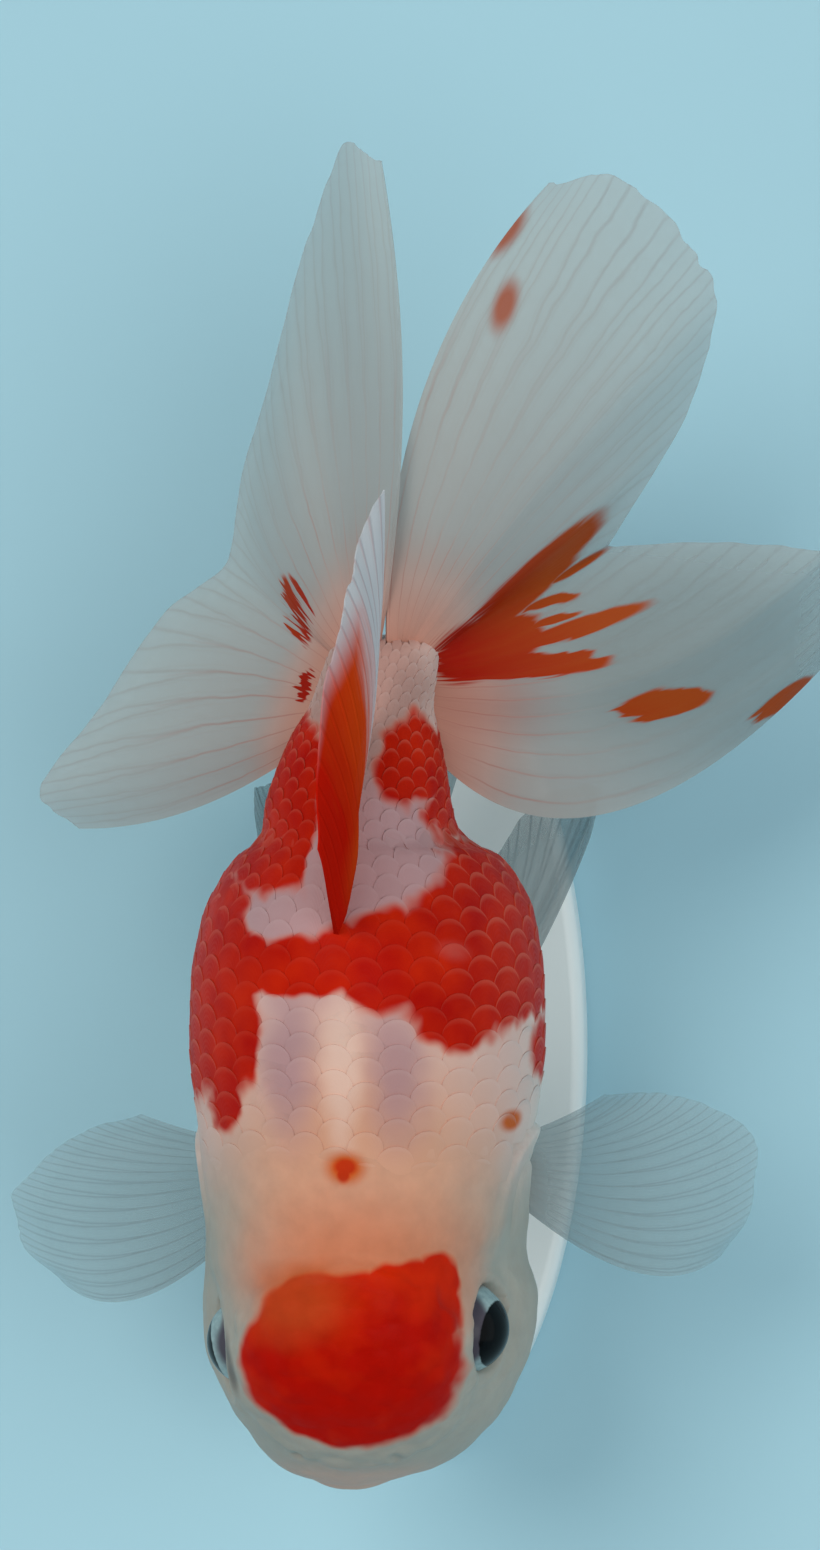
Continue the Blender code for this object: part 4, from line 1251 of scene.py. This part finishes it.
def eye_material():
    """A fish's eye under a clear wet cornea: black pupil, silvery iris, pale round it, and dark over the
    ball's top.
    """
    made, tree = new_material("wet_eye")
    away, upward = (
        put(tree, "Attribute", attribute_name=label).outputs["Fac"] for label in ("away", "upward")
    )
    place = from_axis(tree)
    fleck = put(tree, "TexNoise", {"Vector": place, "Scale": 1.6, "Detail": 3.0})
    edge = put(tree, "Math", {0: fleck, 1: 3.0, 2: away}, operation="MULTIPLY_ADD")
    iris = put(tree, "MapRange", {"Value": edge, "From Min": PUPIL + 1.0, "From Max": PUPIL + 3.5}, **SOFT)
    outer = put(tree, "MapRange", {"Value": edge, "From Min": IRIS, "From Max": IRIS + 8.0}, **SOFT)
    silver = put(tree, "Mix", {0: fleck, 6: IRIS_DULL, 7: IRIS_BRIGHT}, data_type="RGBA")
    top = put(tree, "MapRange", {"Value": upward, "From Min": 0.36, "From Max": 0.56}, **SOFT)
    silver = put(tree, "Mix", {0: top, 6: silver, 7: EYE_TOP_DARK}, data_type="RGBA")
    colour = put(tree, "Mix", {0: iris, 6: PUPIL_BLACK, 7: silver}, data_type="RGBA")
    around = put(tree, "Mix", {0: top, 6: EYE_PALE, 7: EYE_TOP_DARK}, data_type="RGBA")
    colour = put(tree, "Mix", {0: outer, 6: colour, 7: around}, data_type="RGBA")
    shader = put(
        tree, "BsdfPrincipled",
        {"Base Color": colour, "Roughness": 0.16, "IOR": 1.36, "Specular IOR Level": 0.16},
    )
    close(tree, shader)
    return made


def lacquer_material():
    """Cast aluminium sprayed with satin white lacquer: even, with a faint orange-peel ripple."""
    made, tree = new_material("satin_white_lacquer")
    place = put(tree, "TexCoord").outputs["Object"]
    peel = put(tree, "TexNoise", {"Vector": place, "Scale": 1 / (1.2 * MM), "Detail": 2.0})
    cloud = put(tree, "TexNoise", {"Vector": place, "Scale": 1 / (30 * MM), "Detail": 2.0})
    tone = put(tree, "Mix", {0: cloud, 6: LACQUER_LOW, 7: LACQUER_HIGH}, data_type="RGBA")
    rough = put(tree, "MapRange", {"Value": cloud, "To Min": 0.36, "To Max": 0.46})
    dents = put(tree, "Bump", {"Strength": 0.12, "Distance": 0.05 * MM, "Height": peel})
    shader = put(
        tree, "BsdfPrincipled",
        {
            "Base Color": tone, "Roughness": rough, "Normal": dents, "IOR": 1.5,
            "Coat Weight": 0.15, "Coat Roughness": 0.3,
        },
    )
    close(tree, shader)
    return made


def rod_material():
    """Stainless rod, brushed along its length in fine vertical strokes."""
    made, tree = new_material("brushed_stainless_rod")
    place = put(tree, "TexCoord").outputs["Object"]
    fine, long = 1 / (0.15 * MM), 1 / (8 * MM)
    along_rod = put(tree, "Mapping", {"Vector": place, "Scale": (fine, fine, long)})
    strokes = put(tree, "TexNoise", {"Vector": along_rod, "Scale": 1.0, "Detail": 3.0})
    tone = put(tree, "Mix", {0: strokes, 6: STEEL_LOW, 7: STEEL_HIGH}, data_type="RGBA")
    rough = put(tree, "MapRange", {"Value": strokes, "To Min": 0.22, "To Max": 0.36})
    grain = put(tree, "Bump", {"Strength": 0.15, "Distance": 0.02 * MM, "Height": strokes})
    shader = put(
        tree, "BsdfPrincipled", {"Base Color": tone, "Metallic": 1.0, "Roughness": rough, "Normal": grain}
    )
    close(tree, shader)
    return made


def floor_material():
    """Plain pale blue matte board."""
    made, tree = new_material("pale_blue_board")
    place = put(tree, "TexCoord").outputs["Object"]
    cloud = put(tree, "TexNoise", {"Vector": place, "Scale": 6.0, "Detail": 2.0})
    tone = put(tree, "Mix", {0: cloud, 6: FLOOR_LOW, 7: FLOOR_HIGH}, data_type="RGBA")
    close(tree, put(tree, "BsdfPrincipled", {"Base Color": tone, "Roughness": 0.8}))
    return made


# How each fin's web, rays, root and blood vessels look.
TAIL_LOOK = {
    "web": "#B0B8B7", "ray": "#978C87", "root": "#BC8878", "alpha": 0.54, "ray_alpha": 0.12,
    "flush": 0.28, "vessels": 0.5, "fine": 0.16, "lines": 0.36, "inner": 0.9,
}
SIDE_LOOK = {
    "web": "#93ADB4", "ray": "#6F848C", "root": "#A79F9A", "alpha": 0.38, "ray_alpha": 0.22,
    "flush": 0.22, "vessels": 0.1, "fine": 0.10, "lines": 0.5, "inner": 0.2,
}
# The fins underneath have their web and rays darkened as painted shade from the body and tail above.
UNDER_LOOK = {
    "web": "#8E9FA2", "ray": "#78868A", "root": "#B89C94", "alpha": 0.50, "ray_alpha": 0.2,
    "flush": 0.25, "vessels": 0.2, "fine": 0.16, "lines": 0.65, "inner": 0.4,
}

# Marks on the tail from above: centre, radii, turn in degrees and softness.
LEFT_TAIL_MARKS = (
    ((12.6, 41.4), (5.6, 2.9), 25.0, 0.35),
    ((16.4, 47.4), (10.4, 1.35), 44.0, 0.45),
    ((21.3, 49.6), (3.2, 0.35), 34.0, 0.90),
    ((18.6, 46.0), (2.6, 0.55), 16.0, 0.60),
    ((19.2, 44.4), (2.2, 0.45), 16.0, 0.70),
    ((20.4, 43.2), (8.0, 0.85), 20.0, 0.50),
    ((17.4, 39.6), (7.0, 1.25), 6.0, 0.35),
    ((29.4, 36.0), (4.3, 1.5), 12.0, 0.35),
    ((40.6, 36.6), (3.6, 0.8), 37.0, 0.45),
)
LEFT_TAIL_SPOTS = (
    ((15.9, 81.8), (1.1, 2.7), -33.0, 0.55),
    ((15.8, 74.4), (1.05, 2.5), -18.0, 0.55),
)
# Painted shade over the web low on the left lobe, and redder flesh at its root, with each one's share and
# colour.
LEFT_TAIL_SHADE_AND_TAINTS = (
    ((33.0, 41.0), (17.0, 11.0), 0.0, 0.60, 0.75, "#7F8A8A"),
    ((12.0, 36.2), (5.5, 4.0), 0.0, 0.80, 0.40, "#A05A4A"),
)
RIGHT_TAIL_MARKS = (
    ((-6.5, 45.2), (0.9, 3.6), 20.0, 0.40),
    ((-5.6, 37.6), (0.6, 1.8), -20.0, 0.40),
)

# Rays in each kind of fin.
LEFT_TAIL_RAYS, RIGHT_TAIL_RAYS, SIDE_RAYS, PELVIC_RAYS, ANAL_RAYS, BACK_RAYS = 24, 22, 15, 9, 7, 16

TAIL_RIGHT = joined_tail(TAIL_UPPER_RIGHT, TAIL_LOWER_RIGHT)
TAIL_LEFT = joined_tail(TAIL_UPPER_LEFT, TAIL_LOWER_LEFT)
# Each fin's web: its name, fan of rays, number of rays, grid and finish, -1 where the fan is
# mirrored, how high it ripples, how deep its edge is torn, and a seed for both.
FINS = (
    ("tail_web_right", TAIL_RIGHT, RIGHT_TAIL_RAYS, (220, 60), "tail_right", 1, 0.45, 0.030, 1.3),
    ("tail_web_left", TAIL_LEFT, LEFT_TAIL_RAYS, (240, 60), "tail_left", 1, 0.45, 0.035, 2.6),
    ("pectoral_web_left", PECTORAL_LEFT, SIDE_RAYS, (120, 36), "side", 1, 0.2, 0.025, 6.4),
    ("pectoral_web_right", PECTORAL_RIGHT, SIDE_RAYS, (120, 36), "side", 1, 0.2, 0.025, 7.7),
    ("pelvic_web_left", PELVIC, PELVIC_RAYS, (72, 36), "under", 1, 0.3, 0.030, 8.2),
    ("pelvic_web_right", held_closer(PELVIC), PELVIC_RAYS, (72, 36), "under", -1, 0.3, 0.030, 9.5),
    ("anal_web_left", ANAL, ANAL_RAYS, (56, 26), "under", 1, 0.2, 0.030, 10.1),
    ("anal_web_right", ANAL, ANAL_RAYS, (56, 26), "under", -1, 0.2, 0.030, 11.4),
    ("dorsal_web", DORSAL, BACK_RAYS, (112, 44), "dorsal", 1, 0.3, 0.025, 12.3),
)
FIN_NODES = {
    "tail_web_right": ("tail_fin_upper_right", "tail_fin_lower_right"),
    "tail_web_left": ("tail_fin_upper_left", "tail_fin_lower_left"),
}


def build_fish():
    section = Section()
    build_skin(skin_material())
    scales = scale_material()
    roots = scale_roots(section)
    for label, side in (("left", 1), ("right", -1)):
        build_scales(f"scales_{label}", side, section, roots, scales)
    webs = {
        "tail_left": fin_material(
            "tail_web_with_red", LEFT_TAIL_RAYS, TAIL_LOOK,
            LEFT_TAIL_MARKS, LEFT_TAIL_SPOTS, LEFT_TAIL_SHADE_AND_TAINTS,
        ),
        "tail_right": fin_material("tail_web", RIGHT_TAIL_RAYS, TAIL_LOOK, RIGHT_TAIL_MARKS),
        "side": fin_material("pectoral_web", SIDE_RAYS, SIDE_LOOK),
        "under": fin_material("pelvic_and_anal_web", PELVIC_RAYS, UNDER_LOOK),
        "dorsal": dorsal_material(BACK_RAYS),
    }
    for name, rays, count, grid, web, side, wave, depth, seed in FINS:
        nodes = FIN_NODES.get(name, (name.replace("_web", "_fin"),))
        slot = "red_fin" if web == "dorsal" else "fin_membrane"
        build_fin(name, nodes, rays, count, grid, webs[web], slot, side, wave, depth, seed)
    glass = eye_material()
    for label, side in (("left", 1), ("right", -1)):
        build_eye(label, side, glass)


def build_rod(name, material):
    """A turned rod with a small rounded foot ring, its top set a little way into the belly."""
    low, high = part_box(name)
    y, radius = (low.y + high.y) / 2, (high.y - low.y) / 2
    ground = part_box("stand_base")[1].z
    profile = [(0.0, low.z), (radius, low.z), (radius, ground + 0.05 * MM)]
    for turn in np.radians((-50.0, -20.0, 10.0, 40.0, 70.0, 90.0)):
        profile.append((radius + RING * MM * math.cos(turn), ground + RING * MM * (1.0 + math.sin(turn))))
    top = high.z + ROD_SINK * MM
    profile += [(radius, ground + 2.1 * RING * MM), (radius, top), (0.0, top)]
    deselect()
    mesh = bpy.data.meshes.new(f"{name}_turned")
    mesh.from_pydata([(x, 0.0, z) for x, z in profile], [(k, k + 1) for k in range(len(profile) - 1)], [])
    rod = bpy.data.objects.new(f"{name}_turned", mesh)
    bpy.context.collection.objects.link(rod)
    rod.select_set(True)
    bpy.context.view_layer.objects.active = rod
    lathe = rod.modifiers.new("lathe", "SCREW")
    lathe.steps = lathe.render_steps = ROD_SIDES
    lathe.use_merge_vertices = True
    lathe.merge_threshold = 0.01 * MM
    bpy.ops.object.modifier_apply(modifier="lathe")
    turn_faces_out()
    rod.data.transform(Matrix.Translation((0.0, y, 0.0)))
    shade(rod)
    stand_in_for(rod, "stand_steel", material, name)


def build_base(material):
    """A cast oval base with a smooth rounded edge."""
    low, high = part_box("stand_base")
    deselect()
    bpy.ops.mesh.primitive_cylinder_add(vertices=BASE_SIDES, radius=1.0, depth=1.0)
    base = bpy.context.object
    base.name = "stand_base_cast"
    middle, reach = (low + high) / 2, (high - low) / 2
    base.data.transform(Matrix.Translation(middle) @ Matrix.Diagonal((reach.x, reach.y, 2 * reach.z, 1.0)))
    edge = base.modifiers.new("edge", "BEVEL")
    edge.width = BASE_EDGE * MM
    edge.segments = 6
    edge.limit_method = "ANGLE"
    bpy.ops.object.modifier_apply(modifier="edge")
    shade(base)
    stand_in_for(base, "stand_lacquer", material, "stand_base")


def build_stand():
    """The white oval base, and the two steel rods that run up into the belly."""
    build_base(lacquer_material())
    steel = rod_material()
    for name in ("stand_rod_front", "stand_rod_rear"):
        build_rod(name, steel)


def build_floor():
    """A plain pale board, flat round the stand and sweeping up gently far away."""
    deselect()
    bpy.ops.mesh.primitive_circle_add(vertices=FLOOR_SIDES, radius=FLOOR_FLAT, fill_type="NGON")
    floor = bpy.context.object
    floor.name = "floor"
    sweep = bmesh.new()
    sweep.from_mesh(floor.data)
    rim = list(sweep.edges)
    for reach in np.linspace(FLOOR_FLAT, FLOOR_EDGE, FLOOR_RINGS + 1)[1:]:
        grown = bmesh.ops.extrude_edge_only(sweep, edges=rim)["geom"]
        for corner in (found for found in grown if isinstance(found, bmesh.types.BMVert)):
            corner.co.xy = corner.co.xy.normalized() * reach
            corner.co.z = FLOOR_SWEEP * (reach - FLOOR_FLAT) ** 3
        rim = [found for found in grown if isinstance(found, bmesh.types.BMEdge)]
    sweep.to_mesh(floor.data)
    sweep.free()
    shade(floor)
    floor.data.materials.append(floor_material())


def add_light(kind, name, place, strength, colour):
    """A light aimed at the fish, out of the camera's sight."""
    bpy.ops.object.light_add(type=kind, location=place)
    light = bpy.context.object
    light.name = name
    light.data.energy = strength
    light.data.color = linear(colour)[:3]
    aim = Vector((*LIGHT_AIM, AXIS)) * MM
    light.rotation_euler = (aim - Vector(place)).to_track_quat("-Z", "Y").to_euler()
    light.visible_camera = False
    return light.data


def build_stage():
    """A plain pale board under soft studio light, the main light high on the fish's right and rear."""
    build_floor()
    for name, place, width, strength, colour in SUNS:
        add_light("SUN", name, place, strength, colour).angle = math.radians(width)
    for name, place, size, power, colour in PANELS:
        add_light("AREA", name, place, power, colour).size = size
    world = bpy.data.worlds.new("studio_air")
    world.use_nodes = True
    air = world.node_tree.nodes["Background"]
    air.inputs["Color"].default_value = linear(AIR)
    air.inputs["Strength"].default_value = AIR_STRENGTH
    bpy.context.scene.world = world
    bpy.context.scene.view_settings.view_transform = "Standard"


def build_camera():
    """Looks straight down from 0.7 m, tipped a little towards the fish's left side."""
    tip = math.radians(CAMERA_TIP)
    aim = Vector((CAMERA_AIM[0], CAMERA_AIM[1], AXIS)) * MM
    away = Vector((math.sin(tip), 0.0, math.cos(tip))) * CAMERA_AWAY * MM
    bpy.ops.object.camera_add(location=aim + away, rotation=(0.0, tip, 0.0))
    camera = bpy.context.object
    camera.name = "camera"
    camera.data.sensor_width = SENSOR
    camera.data.lens = SENSOR * CAMERA_AWAY / FRAME_HEIGHT
    camera.data.clip_start = 0.01
    bpy.context.scene.camera = camera


build_camera()
build_stage()
build_fish()
build_stand()
